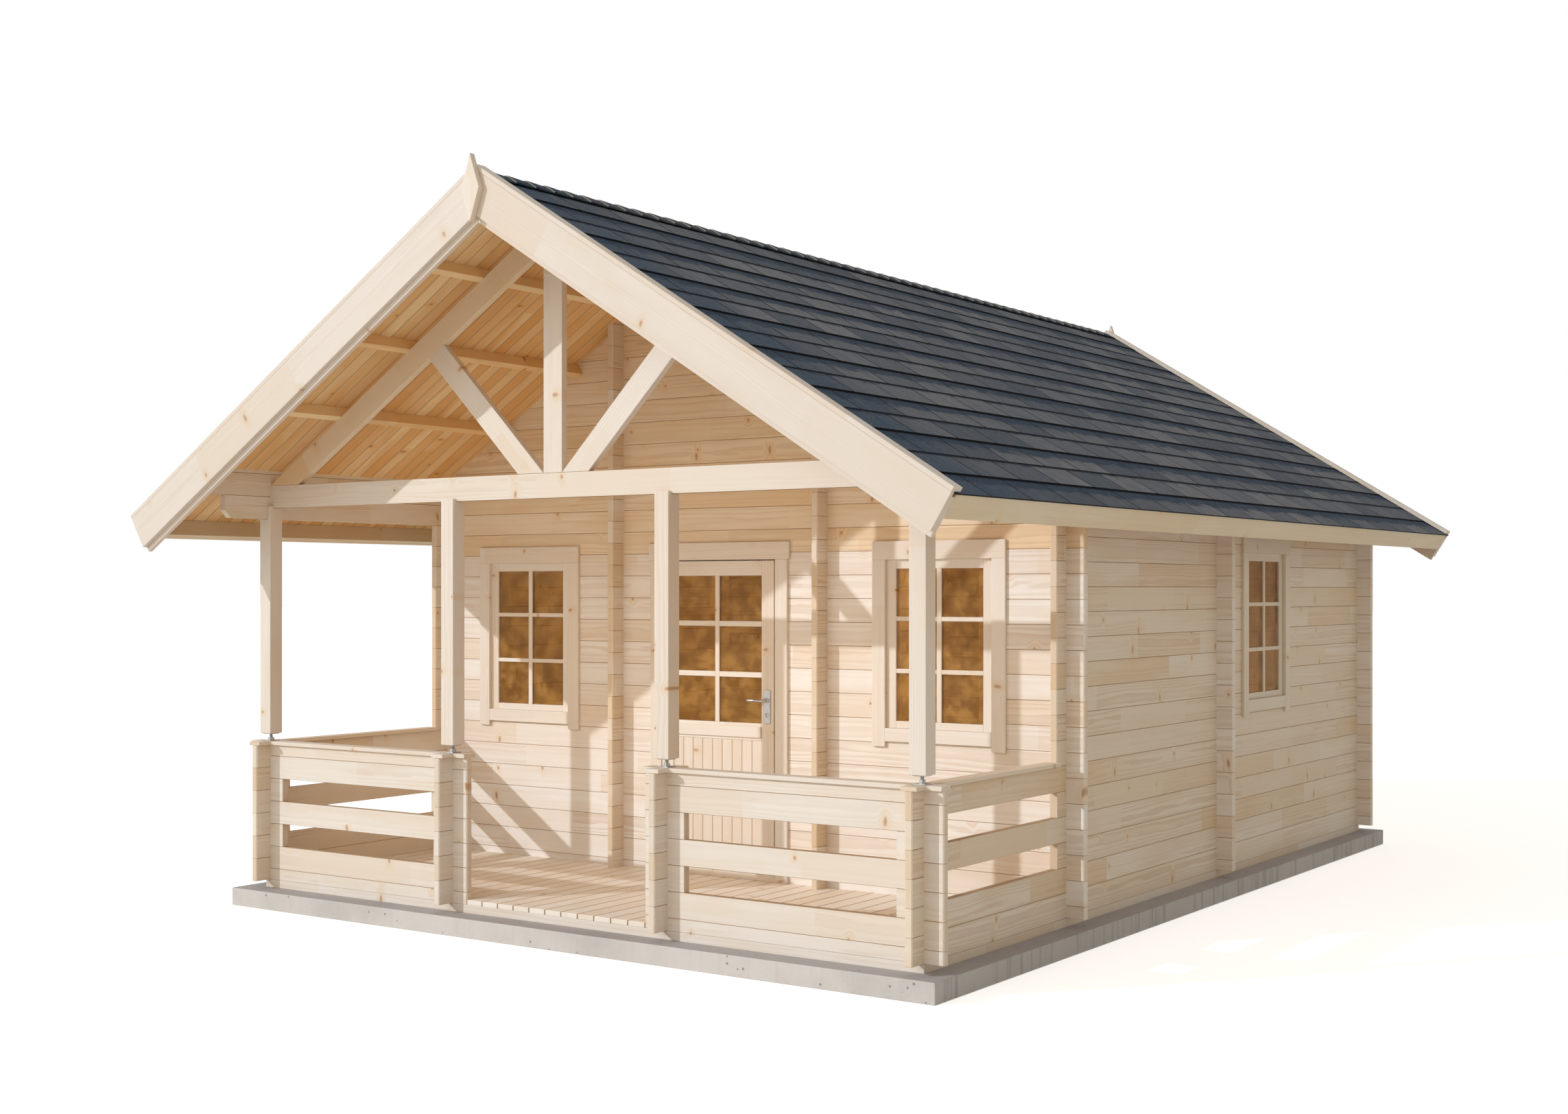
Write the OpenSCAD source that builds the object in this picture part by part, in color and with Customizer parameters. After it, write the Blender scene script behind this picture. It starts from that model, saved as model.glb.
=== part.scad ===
// Log garden house with a roofed porch, at full size in millimetres.
// +Z is up, +X runs to the right along the front, +Y runs from the porch to the back.
// The origin is at the foot of the slab, midway across the house and midway along the roof.

/* [Logs] */
// Height of one course of logs
log_h = 140; // [110:1:170]
// Thickness of every log
log_t = 44; // [34:1:60]
// How far the log ends stick out past a crossing
log_end = 110; // [80:5:160]
// Depth of the V seam between two logs
seam_depth = 4; // [2:0.5:6]
// Half the width of that seam at the face
seam_half = 2.5; // [1:0.5:5]
// Chamfer on the upright edges of a log end
end_chamfer = 6; // [2:1:12]

/* [Plan] */
// Distance between the centres of the side walls
house_w = 4700; // [4000:10:5700]
// Distance between the centres of the hall walls
hall_w = 1567; // [1440:1:1900]
// Depth of the porch, between the centres of railing and front wall
porch_d = 1541; // [1250:1:1900]
// Depth of the front rooms, between the centres of front wall and cross wall
rooms_d = 2175; // [1800:5:2700]
// Depth of the back room, between the centres of cross wall and rear wall
back_d = 2835; // [2300:5:3500]

/* [Heights] */
// Number of full courses in a side wall
side_courses = 18; // [17:1:20]
// Number of full courses in a railing
rail_courses = 6; // [6:1:7]
// Courses from the wall foot to the head of the front door, in half-course steps
head_courses = 14.5; // [14.5:1:16.5]
// Courses that a window opening takes up
window_courses = 8; // [6:1:9]

/* [Base] */
// Thickness of the concrete slab
slab_h = 110; // [80:5:160]
// How far the slab reaches past the log ends
slab_margin = 35; // [10:5:100]
// Height of the ground beams
beam_h = 48; // [36:1:70]
// Width of the ground beams
beam_w = 70; // [50:1:95]
// Thickness of the floor boards
floor_t = 28; // [18:1:34]
// Greatest distance between two floor joists
joist_gap = 620; // [400:10:800]

/* [Roof] */
// Pitch of both slopes in degrees
roof_pitch = 31.8; // [27:0.1:36]
// Distance from the railing's front face to the outer face of the front barge board
front_overhang = 615; // [450:5:800]
// Distance from the rear wall's outer face to the outer face of the rear barge board
rear_overhang = 650; // [450:5:800]
// Level distance from a side wall's centre to the top edge of its eaves board
eave_reach = 518; // [400:1:650]
// Thickness of the roof boards
board_t = 18; // [15:1:28]
// Thickness of the shingle layer
shingle_t = 8; // [5:1:12]
// How far the lowest shingles reach past the eaves board
shingle_drip = 12; // [5:1:25]
// Half the width of the folded ridge strip, along the slope
ridge_strip = 90; // [80:5:180]
// Number of purlins on each slope, between ridge and side wall
purlins_each = 3; // [2:1:3]
// Height of a purlin, square to the slope
purlin_h = 75; // [60:1:95]

/* [Roof trim] */
// Thickness of the barge boards and of the strip on top of them
barge_t = 28; // [20:1:34]
// Face height of the outer barge board
barge_face = 205; // [170:5:240]
// How far the inner barge board shows below the outer one
barge_step = 30; // [20:5:45]
// Thickness of the cover strip on the barge boards
cover_t = 25; // [18:1:30]
// Width of that cover strip, along the ridge
cover_w = 80; // [70:1:110]
// Face height of the eaves board
eaves_face = 130; // [110:5:160]
// Thickness of the eaves board
eaves_t = 20; // [16:1:28]
// Thickness of the batten behind the eaves board
batten_t = 28; // [20:1:40]
// Height of the ridge ornament
finial_h = 364; // [300:2:420]
// Width of the ridge ornament across its shoulders
finial_w = 130; // [100:5:170]
// Thickness of the ridge ornament
finial_t = 36; // [24:1:50]
// How far the ornament's tip stands above the cover strips
finial_rise = 50; // [30:1:90]
// Drop from the ornament's tip to its shoulders
finial_shoulder = 184; // [150:2:210]
// Width of the ornament halfway down to its shoulders, as a part of the shoulder width
finial_waist = 0.47; // [0.3:0.01:0.5]
// Saw gap between the two halves of a mitred pair of boards
mitre_gap = 2; // [1:0.5:4]
// Gap behind the ridge ornament, where it is screwed to the barge boards
face_gap = 0.2; // [0.1:0.1:1]

/* [Porch] */
// Width of a square porch post
post_w = 95; // [80:1:120]
// Open gap under a post, where its levelling screw shows
post_gap = 47; // [30:1:80]
// How far a post head reaches up beside the tie beam
post_lap = 15; // [5:1:30]
// Width of the boards of the roof truss
truss_w = 135; // [110:1:150]
// Angle of the truss struts from level, in degrees
strut_angle = 45; // [40:1:52]
// Width of the cap board on the railings
cap_w = 90; // [70:1:120]
// Thickness of that cap board
cap_t = 22; // [18:1:34]
// Open courses of a railing are 3 and 5; they stop this far from a crossing log
rail_stub = 110; // [80:5:160]
// Distance that the lower plate log reaches past the railing face and the rear wall
plate_reach = 350; // [250:5:420]
// Chamfer under the end of that plate log
plate_chamfer = 45; // [20:1:60]

/* [Windows] */
// Width of a window opening in the logs
window_w = 786; // [700:2:840]
// Width of a window frame beside the sash
frame_w = 43; // [35:1:60]
// Height of the frame over the sash
frame_head = 52; // [40:1:60]
// Height of the frame under the sash
frame_foot = 88; // [70:1:100]
// Width of the upright sash members
sash_w = 63; // [50:1:75]
// Height of the top rail of a sash
sash_top = 53; // [45:1:65]
// Height of the bottom rail of a sash
sash_foot = 42; // [35:1:60]
// Setback of the sash from the face of the logs
sash_back = 4; // [0:1:10]
// Thickness of the sealed glass
glass_t = 16; // [6:1:20]
// Width of the casing boards round doors and windows
casing_w = 88; // [70:1:100]
// Thickness of the casing boards
casing_t = 20; // [14:1:24]
// Height of the head casing board
head_w = 108; // [90:1:120]
// Height of the casing board under a window
sill_w = 78; // [60:1:90]
// How far the side casings run down past the sill casing
casing_tail = 32; // [0:1:50]
// Distance from the cross wall's centre to the side windows' centre
side_window_y = 847; // [700:5:1000]

/* [Front door] */
// Width of the door leaf
leaf_w = 860; // [780:5:900]
// Thickness of the door leaf
leaf_t = 40; // [36:1:44]
// Running gap round the door leaf
door_gap = 7; // [6.5:0.5:9]
// Thickness of the door jambs and of the frame over the door
jamb_t = 43; // [30:1:50]
// Height of the door sill above the wall foot
sill_h = 68; // [45:1:80]
// How far the head casing reaches past the side casings of the door
head_ear = 15; // [0:1:30]
// Width of the stiles and top rail of the door leaf
stile_w = 91; // [80:1:105]
// Height of the glass in the door
door_glass_h = 902; // [820:2:940]
// Height of the weather rail on the door leaf
weather_h = 68; // [50:1:80]
// How far the weather rail stands out
weather_t = 14; // [8:1:18]
// Distance from the glass down to the weather rail
weather_drop = 20; // [10:1:40]
// Radius of the hinge knuckles
knuckle_r = 8; // [7:0.5:10]
// Radius of the hinge pins
pin_r = 5; // [4:0.5:5.5]
// Running clearance of the pins in their knuckles
pin_fit = 0.08; // [0.05:0.01:0.1]
// Height of one hinge knuckle
knuckle_h = 40; // [30:1:50]
// Height of the door handles above the wall foot
handle_z = 1128; // [1020:1:1180]

/* [Doorways indoors] */
// Width of the open doorways indoors
doorway_w = 800; // [700:10:900]
// Courses of logs under the head of a doorway in a hall wall
doorway_courses = 14; // [14:1:16]
// Distance from the cross wall's centre to the near side of a hall doorway
doorway_y = 250; // [180:5:400]

/* [Hidden] */

// Small fixed fittings
screw_r = 9;
screw_plate = 70;
screw_plate_t = 5;
nut_r = 19;
nut_h = 16;
hinge_plate_t = 3;
hinge_plate_w = 50;
hinge_out = 9.5;
knuckle_gap = 0.5;
hinge_heights = [250, 1000, 1750];
stop_w = 12;
stop_gap = 5;
plate_w = 45;
plate_t = 8;
plate_h = 205;
plate_up = 66;
neck_r = 7;
lever_r = 9.5;
lever_len = 135;
lever_out = 42;
spindle = 8;
spindle_hole_r = 8;

// Longer than anything that is cut, and how far a cut runs past a face
big = 20000;
over = 1;

// Plan
wall_x = house_w / 2;
hall_x = hall_w / 2;
half = log_t / 2;
roof_len = front_overhang + half + porch_d + rooms_d + back_d + half + rear_overhang;
roof_y0 = -roof_len / 2;
roof_y1 = roof_len / 2;
rail_y = roof_y0 + front_overhang + half;
front_y = rail_y + porch_d;
cross_y = front_y + rooms_d;
rear_y = cross_y + back_d;
end_reach = half + log_end;

// Heights
wall_z = slab_h + beam_h;
head_z = wall_z + head_courses * log_h;
window_z = head_z - window_courses * log_h;
rail_top = wall_z + rail_courses * log_h;
tie_z = wall_z + (side_courses - 1.5) * log_h;
tie_top = tie_z + log_h;
plate_z = wall_z + (side_courses - 2) * log_h;

// Roof: u runs down a slope from the ridge, and v is square to it, from the top of the boards
tan_a = tan(roof_pitch);
cos_a = cos(roof_pitch);
roof_seat = 8;
under_z = wall_z + side_courses * log_h + roof_seat + wall_x * tan_a;
deck_z = under_z + board_t / cos_a;
eave_u = (wall_x + eave_reach) / cos_a;
barge_stack = 2 * barge_t;
purlin_gap = wall_x / (purlins_each + 1);
rafter_v = -board_t - purlin_h;
rafter_foot_v = rafter_v - truss_w;
// Height of the ridge at level v
function ridge_z(v) = deck_z + v / cos_a;

// Half a log wall's section: every seam is a V, and the outermost two are half a V
function half_section(seams) = concat(
    [for (i = [0 : len(seams) - 2]) for (p = [[half - seam_depth, seams[i]],
        [half, seams[i] + seam_half], [half, seams[i + 1] - seam_half]]) p],
    [[half - seam_depth, seams[len(seams) - 1]]]);
function flipped(pts) = [for (i = [len(pts) - 1 : -1 : 0]) [-pts[i][0], pts[i][1]]];
function section(seams) = concat(half_section(seams), flipped(half_section(seams)));
// Walls along Y start with a full log, walls along X with half a log
function y_seams(lo, hi) = [lo * log_h, for (k = [floor(lo) + 1 : ceil(hi) - 1]) k * log_h, hi * log_h];
function x_seams(lo, hi) = [lo * log_h, for (k = [floor(lo + 0.5) : ceil(hi - 0.5) - 1])
    if (k + 0.5 > lo) (k + 0.5) * log_h, hi * log_h];

// A section in X and Z, carried from y0 to y1
module along_y(y0, y1) {
    translate([0, y1, 0]) rotate([90, 0, 0]) linear_extrude(y1 - y0) children();
}
// A section in Y and Z, carried from x0 to x1
module along_x(x0, x1) {
    translate([x0, 0, 0]) rotate([90, 0, 90]) linear_extrude(x1 - x0) children();
}
module both_sides() {
    children();
    mirror([1, 0, 0]) children();
}
module box(lo, hi) {
    translate(lo) cube(hi - lo);
}
// The right slope's own frame: x runs down the slope from the ridge, z square to it from the boards' top
module on_slope() {
    translate([0, 0, deck_z]) rotate([0, roof_pitch, 0]) children();
}
// The part of something that is right of x
module right_of(x) {
    intersection() {
        children();
        box([x, -big, 0], [big, big, big]);
    }
}
// The part of something that is lower than level v of both slopes
module below(v) {
    difference() {
        children();
        both_sides() on_slope() box([-big, -big, v], [big, big, big]);
    }
}
module under_roof() {
    below(-board_t) children();
}
// Chamfers on the upright edges of a log end: the wall's centre line ends at (x, y)
module chamfer_y_end(x, y, z0, z1) {
    side = end_chamfer * sqrt(2);
    for (s = [-1, 1])
        translate([x + s * half, y, (z0 + z1) / 2]) rotate([0, 0, 45])
            cube([side, side, z1 - z0], center = true);
}
module chamfer_x_end(x, y, z0, z1) {
    side = end_chamfer * sqrt(2);
    for (s = [-1, 1])
        translate([x, y + s * half, (z0 + z1) / 2]) rotate([0, 0, 45])
            cube([side, side, z1 - z0], center = true);
}
// Logs from course lo to course hi, along Y at x or along X at y
module y_logs(x, y0, y1, lo, hi) {
    along_y(y0, y1) translate([x, wall_z]) polygon(section(y_seams(lo, hi)));
}
module x_logs(y, x0, x1, lo, hi) {
    along_x(x0, x1) translate([y, wall_z]) polygon(section(x_seams(lo, hi)));
}
// Notches that let the X logs through a Y wall, and the Y logs through an X wall, at (x, y)
module let_x_logs(x, y, lo, hi) {
    for (n = [ceil(lo) : floor(hi)])
        translate([x, y, wall_z + n * log_h]) cube([log_t + 2 * over, log_t, log_h / 2], center = true);
}
module let_y_logs(x, y, lo, hi) {
    for (n = [floor(lo) : ceil(hi) - 1])
        translate([x, y, wall_z + (n + 0.5) * log_h])
            cube([log_t, log_t + 2 * over, log_h / 2], center = true);
}

// ---- base ----
module foundation_slab() {
    reach = end_reach + slab_margin;
    color("silver")
        box([-wall_x - reach, rail_y - reach, 0], [wall_x + reach, rear_y + reach, slab_h]);
}

module beam_x(y) {
    box([-wall_x - half, y - beam_w / 2, slab_h], [wall_x + half, y + beam_w / 2, wall_z]);
}
module beam_y(x, y0, y1) {
    box([x - beam_w / 2, y0, slab_h], [x + beam_w / 2, y1, wall_z]);
}
module joists(y0, y1) {
    count = ceil((y1 - y0) / joist_gap);
    for (k = [1 : count - 1]) beam_x(y0 + k * (y1 - y0) / count);
}
module ground_beams() {
    inset = beam_w / 2 - half;
    color("tan") {
        beam_x(rail_y + inset);
        beam_x(front_y);
        beam_x(cross_y);
        beam_x(rear_y - inset);
        both_sides() {
            beam_y(wall_x - inset, rail_y - half, rear_y + half);
            beam_y(hall_x, front_y, cross_y);
        }
        joists(rail_y, front_y);
        joists(front_y, cross_y);
        joists(cross_y, rear_y);
    }
}

module room_floor() {
    z1 = wall_z + floor_t;
    color("wheat") {
        box([-hall_x + half, front_y + half, wall_z], [hall_x - half, cross_y - half, z1]);
        both_sides()
            box([hall_x + half, front_y + half, wall_z], [wall_x - half, cross_y - half, z1]);
        difference() {
            box([-wall_x + half, cross_y + half, wall_z], [wall_x - half, rear_y - half, z1]);
            both_sides()
                box([hall_x - half, cross_y, wall_z - over],
                    [hall_x + half, cross_y + end_reach, z1 + over]);
        }
    }
}

module porch_floor() {
    z1 = wall_z + floor_t;
    y0 = rail_y - half;
    z0 = wall_z;
    color("wheat") difference() {
        box([-wall_x + half, y0, z0], [wall_x - half, front_y - half, z1]);
        both_sides() {
            box([hall_x - end_reach, y0 - over, z0 - over], [wall_x, rail_y + half, z1 + over]);
            box([hall_x - half, y0 - over, z0 - over],
                [hall_x + half, rail_y + end_reach, z1 + over]);
            box([hall_x - half, front_y - end_reach, z0 - over], [hall_x + half, front_y, z1 + over]);
        }
    }
}

// ---- roof timbers that the gables are cut for ----
module purlin(k) {
    u = k * purlin_gap / cos_a;
    on_slope() box([u - half, roof_y0 + barge_stack, -board_t - purlin_h],
        [u + half, roof_y1 - barge_stack, -board_t]);
}
module ridge_timber() {
    under_roof()
        box([-half, roof_y0 + barge_stack, under_z - log_h], [half, roof_y1 - barge_stack, deck_z]);
}
module roof_timbers() {
    both_sides() for (k = [1 : purlins_each]) purlin(k);
    ridge_timber();
}

// ---- walls ----
door_half = leaf_w / 2 + door_gap + jamb_t;
reach_x = wall_x + end_reach;
gable_courses = ceil((under_z - wall_z) / log_h) + 0.5;

module window_hole_y(x, y) {
    box([x - window_w / 2, y - log_t, window_z],
        [x + window_w / 2, y + log_t, window_z + window_courses * log_h]);
}
module front_wall_right() {
    color("burlywood") difference() {
        x_logs(front_y, door_half, reach_x, 0, head_courses);
        let_y_logs(wall_x, front_y, 0, head_courses);
        let_y_logs(hall_x, front_y, 0, head_courses);
        window_hole_y((wall_x + hall_x) / 2, front_y);
        chamfer_x_end(reach_x, front_y, 0, head_z + over);
    }
}
module front_wall_left() {
    mirror([1, 0, 0]) front_wall_right();
}

module x_wall(y, lo, hi) {
    under_roof() difference() {
        x_logs(y, -reach_x, reach_x, lo, hi);
        both_sides() {
            let_y_logs(wall_x, y, lo, side_courses);
            chamfer_x_end(reach_x, y, 0, big);
        }
    }
}
module front_gable() {
    color("burlywood") difference() {
        x_wall(front_y, head_courses, gable_courses);
        both_sides() let_y_logs(hall_x, front_y, head_courses, gable_courses);
        roof_timbers();
    }
}
module rear_wall() {
    color("burlywood") difference() {
        x_wall(rear_y, 0, gable_courses);
        window_hole_y(0, rear_y);
        roof_timbers();
    }
}
module cross_wall() {
    color("burlywood") difference() {
        x_wall(cross_y, 0, side_courses - 0.5);
        both_sides() let_y_logs(hall_x, cross_y, 0, side_courses);
        box([-doorway_w / 2, cross_y - log_t, wall_z + floor_t],
            [doorway_w / 2, cross_y + log_t, wall_z + doorway_courses * log_h]);
    }
}

module right_wall() {
    y_end = front_y - end_reach;
    window_y = cross_y + side_window_y - window_w / 2;
    window_foot = window_z + log_h / 2;
    color("burlywood") difference() {
        y_logs(wall_x, y_end, rear_y + end_reach, 0, side_courses - 2);
        box([wall_x - log_t, y_end - over, 0], [wall_x + log_t, front_y - half, rail_top]);
        let_x_logs(wall_x, front_y, 0, side_courses - 2);
        let_x_logs(wall_x, cross_y, 0, side_courses - 2);
        let_x_logs(wall_x, rear_y, 0, side_courses - 2);
        box([wall_x - log_t, window_y, window_foot],
            [wall_x + log_t, window_y + window_w, window_foot + window_courses * log_h]);
        chamfer_y_end(wall_x, y_end, rail_top, plate_z);
        chamfer_y_end(wall_x, rear_y + end_reach, 0, plate_z);
    }
}
module left_wall() {
    mirror([1, 0, 0]) right_wall();
}

// The two top logs of a side wall carry the eaves, and the lower one ends in a bevel
module plate_end_cut(y) {
    along_x(wall_x - log_t, wall_x + log_t)
        polygon([[y - big, plate_z - over], [y + plate_chamfer, plate_z - over],
            [y + plate_chamfer, plate_z], [y, plate_z + plate_chamfer],
            [y, plate_z + log_h], [y - big, plate_z + log_h]]);
}
module right_plates() {
    lo = side_courses - 2;
    under_roof() difference() {
        y_logs(wall_x, roof_y0 + barge_stack, roof_y1 - barge_stack, lo, side_courses + 1);
        plate_end_cut(rail_y - half - plate_reach);
        mirror([0, 1, 0]) plate_end_cut(-rear_y - half - plate_reach);
        let_x_logs(wall_x, front_y, lo, side_courses);
        let_x_logs(wall_x, cross_y, lo, side_courses - 1);
        let_x_logs(wall_x, rear_y, lo, side_courses);
        let_x_logs(wall_x, rail_y, lo + 1, side_courses - 1);
    }
}
module wall_plates() {
    color("burlywood") both_sides() right_plates();
}

module right_hall_wall() {
    y0 = front_y - end_reach;
    y1 = cross_y + end_reach;
    y_door = cross_y - doorway_y;
    top = ceil((under_z - hall_x * tan_a - wall_z) / log_h);
    under_roof() difference() {
        y_logs(hall_x, y0, y1, 0, top + 1);
        let_x_logs(hall_x, front_y, 0, top + 1);
        let_x_logs(hall_x, cross_y, 0, side_courses - 1);
        box([hall_x - log_t, y_door - doorway_w, wall_z + floor_t],
            [hall_x + log_t, y_door, wall_z + doorway_courses * log_h]);
        chamfer_y_end(hall_x, y0, 0, big);
        chamfer_y_end(hall_x, y1, 0, big);
    }
}
module hall_walls() {
    color("burlywood") both_sides() right_hall_wall();
}

// ---- railings ----
module rail_cap_x(x0, x1) {
    box([x0, rail_y - cap_w / 2, rail_top], [x1, rail_y + cap_w / 2, rail_top + cap_t]);
}
module rail_cap_y(x, y0, y1) {
    box([x - cap_w / 2, y0, rail_top], [x + cap_w / 2, y1, rail_top + cap_t]);
}
module right_rail() {
    y0 = rail_y - end_reach;
    y1 = front_y - half;
    gap0 = rail_y + half + rail_stub;
    gap1 = front_y - half - rail_stub;
    color("burlywood") {
        difference() {
            y_logs(wall_x, y0, y1, 0, rail_courses);
            let_x_logs(wall_x, rail_y, 0, rail_courses);
            for (k = [2 : 2 : rail_courses - 2])
                box([wall_x - log_t, gap0, wall_z + k * log_h],
                    [wall_x + log_t, gap1, wall_z + (k + 1) * log_h]);
            chamfer_y_end(wall_x, y0, 0, rail_top);
        }
        rail_cap_y(wall_x, y0, rail_y - cap_w / 2);
        rail_cap_y(wall_x, rail_y + cap_w / 2, front_y - end_reach);
    }
}
module left_rail() {
    mirror([1, 0, 0]) right_rail();
}
module front_rail_right() {
    x0 = hall_x - end_reach;
    color("burlywood") {
        difference() {
            x_logs(rail_y, x0, reach_x, 0, rail_courses);
            let_y_logs(wall_x, rail_y, 0, rail_courses);
            let_y_logs(hall_x, rail_y, 0, rail_courses);
            for (k = [1.5 : 2 : rail_courses - 2])
                box([hall_x + half + rail_stub, rail_y - log_t, wall_z + k * log_h],
                    [wall_x - half - rail_stub, rail_y + log_t, wall_z + (k + 1) * log_h]);
            chamfer_x_end(x0, rail_y, 0, rail_top);
            chamfer_x_end(reach_x, rail_y, 0, rail_top);
        }
        rail_cap_x(x0, reach_x);
    }
}
module front_rail_left() {
    mirror([1, 0, 0]) front_rail_right();
}
module entrance_log_ends() {
    y0 = rail_y - end_reach;
    y1 = rail_y + end_reach;
    color("burlywood") both_sides() {
        difference() {
            y_logs(hall_x, y0, y1, 0, rail_courses);
            let_x_logs(hall_x, rail_y, 0, rail_courses);
            chamfer_y_end(hall_x, y0, 0, rail_top);
            chamfer_y_end(hall_x, y1, 0, rail_top);
        }
        rail_cap_y(hall_x, y0, rail_y - cap_w / 2);
        rail_cap_y(hall_x, rail_y + cap_w / 2, y1);
    }
}

// ---- porch posts and truss ----
post_z = rail_top + cap_t + post_gap;
module post(x) {
    box([x - post_w / 2, rail_y - post_w / 2, post_z],
        [x + post_w / 2, rail_y + post_w / 2, tie_z + post_lap]);
}
module porch_posts() {
    color("bisque") both_sides() difference() {
        union() {
            post(wall_x);
            post(hall_x);
        }
        box([0, rail_y - half, tie_z], [reach_x, rail_y + half, tie_top]);
        box([wall_x - half, rail_y - post_w, plate_z], [wall_x + half, rail_y + post_w, tie_top]);
    }
}
module post_screw(x) {
    z0 = rail_top + cap_t;
    translate([x, rail_y, z0]) {
        translate([-screw_plate / 2, -screw_plate / 2, 0])
            cube([screw_plate, screw_plate, screw_plate_t]);
        translate([-screw_plate / 2, -screw_plate / 2, post_gap - screw_plate_t])
            cube([screw_plate, screw_plate, screw_plate_t]);
        cylinder(h = post_gap, r = screw_r);
        translate([0, 0, screw_plate_t]) cylinder(h = nut_h, r = nut_r, $fn = 6);
    }
}
module post_screws() {
    color("gainsboro") both_sides() {
        post_screw(wall_x);
        post_screw(hall_x);
    }
}
module tie_beam() {
    lo = side_courses - 1.5;
    color("burlywood") under_roof() difference() {
        x_logs(rail_y, -reach_x, reach_x, lo, lo + 1);
        both_sides() {
            let_y_logs(wall_x, rail_y, lo, lo + 1);
            chamfer_x_end(reach_x, rail_y, 0, big);
        }
    }
}

// The truss stands on the tie beam, in the same plane
module king_post() {
    x = truss_w / 2;
    color("bisque") below(rafter_foot_v)
        box([-x, rail_y - half, tie_top], [x, rail_y + half, under_z]);
}
module truss_struts() {
    run = wall_x;
    rise = run * tan(strut_angle);
    foot = truss_w / 2;
    toe = foot + truss_w / sin(strut_angle);
    color("bisque") both_sides() below(rafter_foot_v) along_y(rail_y - half, rail_y + half)
        polygon([[foot, tie_top], [toe, tie_top], [toe + run, tie_top + rise],
            [foot + run, tie_top + rise]]);
}
module truss_rafters() {
    color("bisque") both_sides() difference() {
        intersection() {
            on_slope() box([-truss_w, rail_y - half, rafter_foot_v], [eave_u, rail_y + half, rafter_v]);
            box([mitre_gap / 2, -big, tie_top], [wall_x - half, big, big]);
        }
        ridge_timber();
    }
}

// ---- roof ----
module purlins() {
    color("bisque") both_sides() for (k = [1 : purlins_each]) purlin(k);
}
module ridge_beam() {
    color("bisque") ridge_timber();
}
module roof_boards_right() {
    color("sandybrown") right_of(0) on_slope()
        box([-board_t, roof_y0 + barge_t, -board_t], [eave_u - eaves_t, roof_y1 - barge_t, 0]);
}
module roof_boards_left() {
    mirror([1, 0, 0]) roof_boards_right();
}
module shingles_right() {
    color("slategray") right_of(0) on_slope()
        box([-board_t, roof_y0 + barge_t, 0], [eave_u + shingle_drip, roof_y1 - barge_t, shingle_t]);
}
module shingles_left() {
    mirror([1, 0, 0]) shingles_right();
}
module ridge_shingles() {
    color("slategray") both_sides() right_of(0) on_slope()
        box([-ridge_strip, roof_y0 + cover_w, shingle_t], [ridge_strip, roof_y1 - cover_w, 2 * shingle_t]);
}

// Barge boards: an outer board up to the shingles' top, an inner one below the roof boards
module barge_boards() {
    past_ridge = -2 * cover_t;
    both_sides() right_of(mitre_gap / 2) on_slope() {
        box([past_ridge, roof_y0, shingle_t - barge_face], [eave_u, roof_y0 + barge_t, shingle_t]);
        box([past_ridge, roof_y0, shingle_t], [eave_u, roof_y0 + cover_w, shingle_t + cover_t]);
        box([past_ridge, roof_y0 + barge_t, shingle_t - barge_face - barge_step],
            [eave_u, roof_y0 + barge_stack, -board_t]);
    }
}
module front_barge_boards() {
    color("bisque") barge_boards();
}
module rear_barge_boards() {
    color("bisque") mirror([0, 1, 0]) barge_boards();
}
// A kite-shaped plank with hollow upper edges, on the face of the outer barge boards
module finial() {
    tip = ridge_z(shingle_t + cover_t) + finial_rise;
    w = finial_w / 2;
    waist = [w * finial_waist, tip - finial_shoulder / 2];
    along_y(roof_y0 - finial_t, roof_y0 - face_gap)
        polygon([[0, tip], [-waist[0], waist[1]], [-w, tip - finial_shoulder], [0, tip - finial_h],
            [w, tip - finial_shoulder], waist]);
}
module ridge_finials() {
    color("bisque") {
        finial();
        mirror([0, 1, 0]) finial();
    }
}
module eaves_boards() {
    back_u = eave_u - eaves_t;
    color("bisque") both_sides() on_slope() {
        box([back_u, roof_y0 + barge_t, -board_t], [eave_u, roof_y1 - barge_t, 0]);
        box([back_u, roof_y0 + barge_stack, -eaves_face], [eave_u, roof_y1 - barge_stack, -board_t]);
        box([back_u - batten_t, roof_y0 + barge_stack, -eaves_face],
            [back_u, roof_y1 - barge_stack, -board_t]);
    }
}

// ---- windows: frame, sash and casings, facing -Y about their own opening's foot ----
glass_w = window_w - 2 * (frame_w + sash_w);
glass_foot = frame_foot + sash_foot;
glass_head = window_courses * log_h - frame_head - sash_top;
casing_in = window_w / 2 - frame_w;
casing_out = casing_in + casing_w;
module casing(y0, y1) {
    top = window_courses * log_h - frame_head;
    for (s = [-1, 1])
        box([s > 0 ? casing_in : -casing_out, y0, frame_foot - sill_w - casing_tail],
            [s > 0 ? casing_out : -casing_in, y1, top]);
    box([-casing_out, y0, top], [casing_out, y1, top + head_w]);
    box([-casing_in, y0, frame_foot - sill_w], [casing_in, y1, frame_foot]);
}
module window() {
    difference() {
        box([-window_w / 2, -half, 0], [window_w / 2, half, window_courses * log_h]);
        box([-casing_in, -log_t, frame_foot],
            [casing_in, sash_back - half, window_courses * log_h - frame_head]);
        box([-glass_w / 2, -log_t, glass_foot], [glass_w / 2, log_t, glass_head]);
    }
    casing(-half - casing_t, -half);
    casing(half, half + casing_t);
}
module glazing() {
    box([-glass_w / 2, -glass_t / 2, glass_foot], [glass_w / 2, glass_t / 2, glass_head]);
}
module at_front_windows() {
    both_sides() translate([(wall_x + hall_x) / 2, front_y, window_z]) children();
}
module at_side_windows() {
    both_sides()
        translate([wall_x, cross_y + side_window_y, window_z + log_h / 2]) rotate([0, 0, 90]) children();
}
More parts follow.
